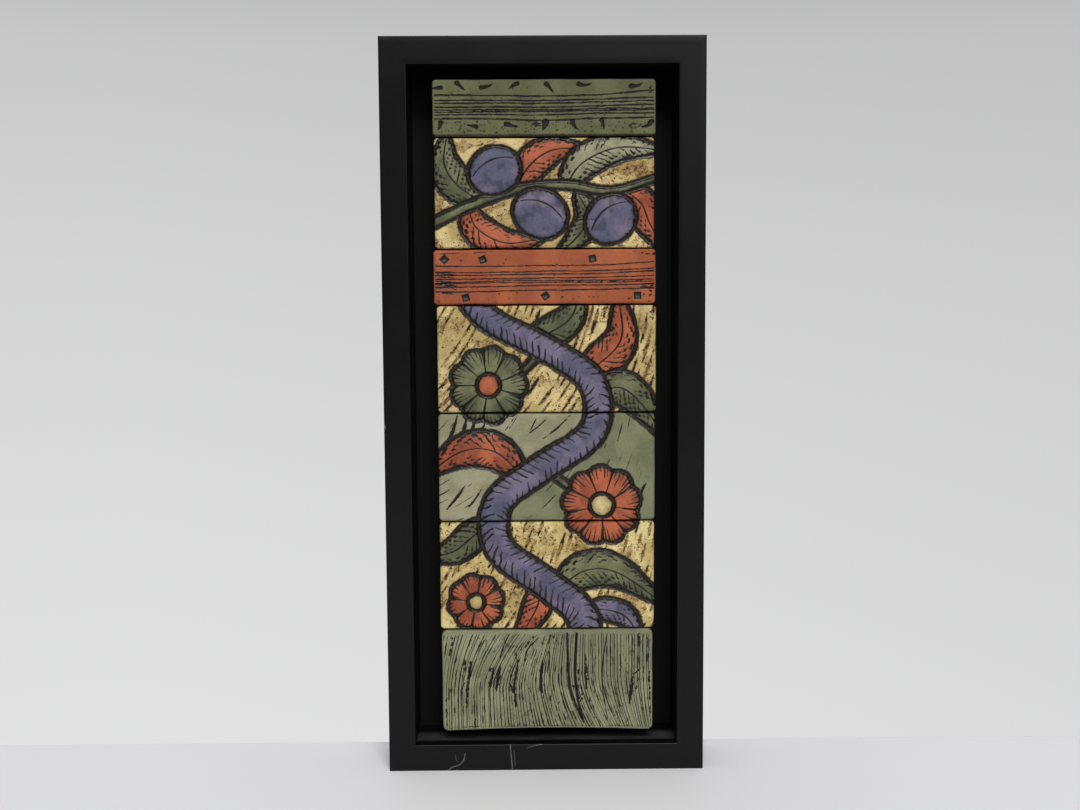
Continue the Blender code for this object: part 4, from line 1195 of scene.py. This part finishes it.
def addRail(node, material):
    # The section is carried along the side of the opening; each point's path ends on the mitre, so it is
    # longer by its own step outward
    low, high = boxOf(node)
    front = low[1]
    outward, along = (np.array(way, float) for way in railSides[node])
    steps = (rail["faceSteps"], rail["wallSteps"], rail["alongSteps"]) if node in scuffs else plainSteps
    section = railSection(front, *steps[:2])
    longest = float(np.abs(along) @ np.array(cadBox[1])[[0, 2]]) / millimetre
    opening = float(np.max(np.abs(outward * (low[[0, 2]], high[[0, 2]])))) - rail["width"]
    halfLength = longest - rail["width"] + section[:, 0] - rail["mitreGap"]
    reach = np.linspace(-1, 1, steps[2] + 1)[:, None] * halfLength[None, :]
    place = outward * (opening + section[:, 0])[None, :, None] + along * reach[:, :, None]
    depths = np.broadcast_to(section[:, 1], reach.shape)
    points = np.stack([place[..., 0], depths, place[..., 1]], axis=-1).reshape(-1, 3)
    ids = np.arange(len(points)).reshape(reach.shape)
    nextIds = np.roll(ids, -1, axis=1)
    quads = np.stack([ids[:-1], nextIds[:-1], nextIds[1:], ids[1:]], axis=-1).reshape(-1, 4)
    caps = [ids[0][None, ::-1], ids[-1][None, :]]
    # the faces point inwards if the volume under them, from two triangles to a quad, comes out negative
    a, b, c, d = (points[quads[:, k]] for k in range(4))
    if np.sum(a * (np.cross(b, c) + np.cross(c, d))) < 0:
        quads, caps = quads[:, ::-1], [cap[:, ::-1] for cap in caps]
    piece = addMesh(node + "Painted", points, [quads, *caps], 40)
    addAttribute(piece, "scuffAndReflection", scratchAndReflectionStrength(node, points, front, opening))
    settle(piece, node, material)


print("Frame: four rails and two boards")
framePaint = satinBlack("framePaint", frameLook)
for node in railSides:
    addRail(node, framePaint)
boardPaint = satinBlack("boardPaint", boardLook)
for node in ("back_panel", "mounting_board"):
    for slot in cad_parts[node].material_slots:
        slot.material = boardPaint


# Stage, light and camera

stage = {"halfWidth": 1400.0, "front": -1500.0, "rear": 13.0, "thick": 25.0, "tone": (227, 228, 232)}
keyLight = {"place": (0.2, -2.5, 2.5), "size": 1.35, "power": 74.0, "tone": (255, 251, 246)}
# the backdrop's tone at each height of the line of sight, from low to high
backdrop = ((-0.35, 227), (-0.08, 217), (0.04, 211), (0.19, 199.5), (0.235, 189), (0.6, 250))
roomShare = {"left": 0.24, "right": 0.02, "ceiling": 0.67, "behind": 0.5}
# a bright patch of the room, high on the right: the middle of its direction, its share and its reach
window = {"towards": (0.32, -0.87, 0.37), "share": 4.8, "reach": (0.1, 0.42)}
view = {
    "place": (-0.010934, -0.8996, 0.077943), "angles": (85.0891, 0.3247, -0.5565),
    "lens": 41.67, "sensor": 36.0,
}


def addStage():
    # a pale table that ends just behind the plaque, as a slab
    top = cadBox[0].z / millimetre
    x = (-stage["halfWidth"], stage["halfWidth"])
    y = (stage["front"], stage["rear"])
    points = np.array([(a, b, c) for c in (top - stage["thick"], top) for b in y for a in x])
    quads = np.array([(0, 2, 3, 1), (4, 5, 7, 6), (0, 1, 5, 4), (2, 6, 7, 3), (0, 4, 6, 2), (1, 3, 7, 5)])
    table = addMesh("paleTable", points, [quads], 30)
    bevel = table.modifiers.new("edge", "BEVEL")
    bevel.width, bevel.segments = 0.002, 3
    material, tree, shader = newMaterial("paleTableTop")
    cloud = noiseNode(tree, objectPlace(tree), 3.0, 2.0)
    darker, paler = (colour([tone - less for tone in stage["tone"]]) for less in (3, 0))
    tree.links.new(colourMix(tree, cloud, darker, paler), shader.inputs["Base Color"])
    shader.inputs["Roughness"].default_value = 0.65
    table.data.materials.append(material)


def addBackdrop():
    # the world's light by the height of its direction, a little darker to the right
    world = bpy.data.worlds.new("softRoom")
    world.use_nodes = True
    bpy.context.scene.world = world
    tree = world.node_tree
    direction = addNode(tree, "ShaderNodeTexCoord").outputs["Generated"]
    x, y, z = addNode(tree, "ShaderNodeSeparateXYZ", {0: direction}).outputs
    ramp = addNode(tree, "ShaderNodeValToRGB", {0: rangeNode(tree, z, -1.0, 1.0, kind="LINEAR")})
    stops = ramp.color_ramp.elements
    while len(stops) < len(backdrop):
        stops.new(0.5)
    for stop, (height, tone) in zip(stops, backdrop):
        stop.position = height / 2 + 0.5
        stop.color = colour((tone, tone, tone + 1))
    fade = rangeNode(tree, x, -0.3, 0.5, 1.0, 0.92, "LINEAR")
    # the room before the plaque is darker than the backdrop, most of all on the right, but for its ceiling
    # and one bright window
    room = rangeNode(tree, x, -0.3, 0.15, roomShare["left"], roomShare["right"])
    room = plus(tree, room, rangeNode(tree, z, 0.45, 0.85, 0.0, roomShare["ceiling"]))
    away = addNode(tree, "ShaderNodeVectorMath", {0: direction, 1: window["towards"]}, operation="DISTANCE")
    lit = rangeNode(tree, away.outputs["Value"], *window["reach"], window["share"], 0.0)
    behind = rangeNode(tree, y, -0.3, 0.1, 0.0, roomShare["behind"])
    share = mathNode(tree, "MAXIMUM", plus(tree, room, lit), behind)
    # the camera sees the whole backdrop, and only the light that falls on things is shared out
    seen = addNode(tree, "ShaderNodeLightPath").outputs["Is Camera Ray"]
    share = addNode(tree, "ShaderNodeMix", {0: seen, 2: share, 3: 1.0}, data_type="FLOAT").outputs[0]
    shaded = scaledColour(tree, ramp.outputs["Color"], times(tree, fade, share))
    tree.links.new(shaded, tree.nodes["Background"].inputs["Color"])


def addLight(name, light):
    data = bpy.data.lights.new(name, "AREA")
    data.shape, data.size, data.energy = "SQUARE", light["size"], light["power"]
    data.color = lightOf(light["tone"])
    lamp = bpy.data.objects.new(name, data)
    lamp.location = light["place"]
    lamp.rotation_euler = (-Vector(light["place"])).to_track_quat("-Z", "Y").to_euler()
    lamp.visible_camera = False
    bpy.context.scene.collection.objects.link(lamp)


def addCamera():
    data = bpy.data.cameras.new("photoView")
    data.lens, data.sensor_width = view["lens"], view["sensor"]
    data.clip_start = 0.01
    camera = bpy.data.objects.new("photoView", data)
    camera.location = view["place"]
    camera.rotation_euler = Euler([math.radians(angle) for angle in view["angles"]], "XYZ")
    bpy.context.scene.collection.objects.link(camera)
    bpy.context.scene.camera = camera


print("Stage, light and camera")
addStage()
addBackdrop()
addLight("keyLight", keyLight)
addCamera()
bpy.context.scene.view_settings.view_transform = "Standard"

print("Done")
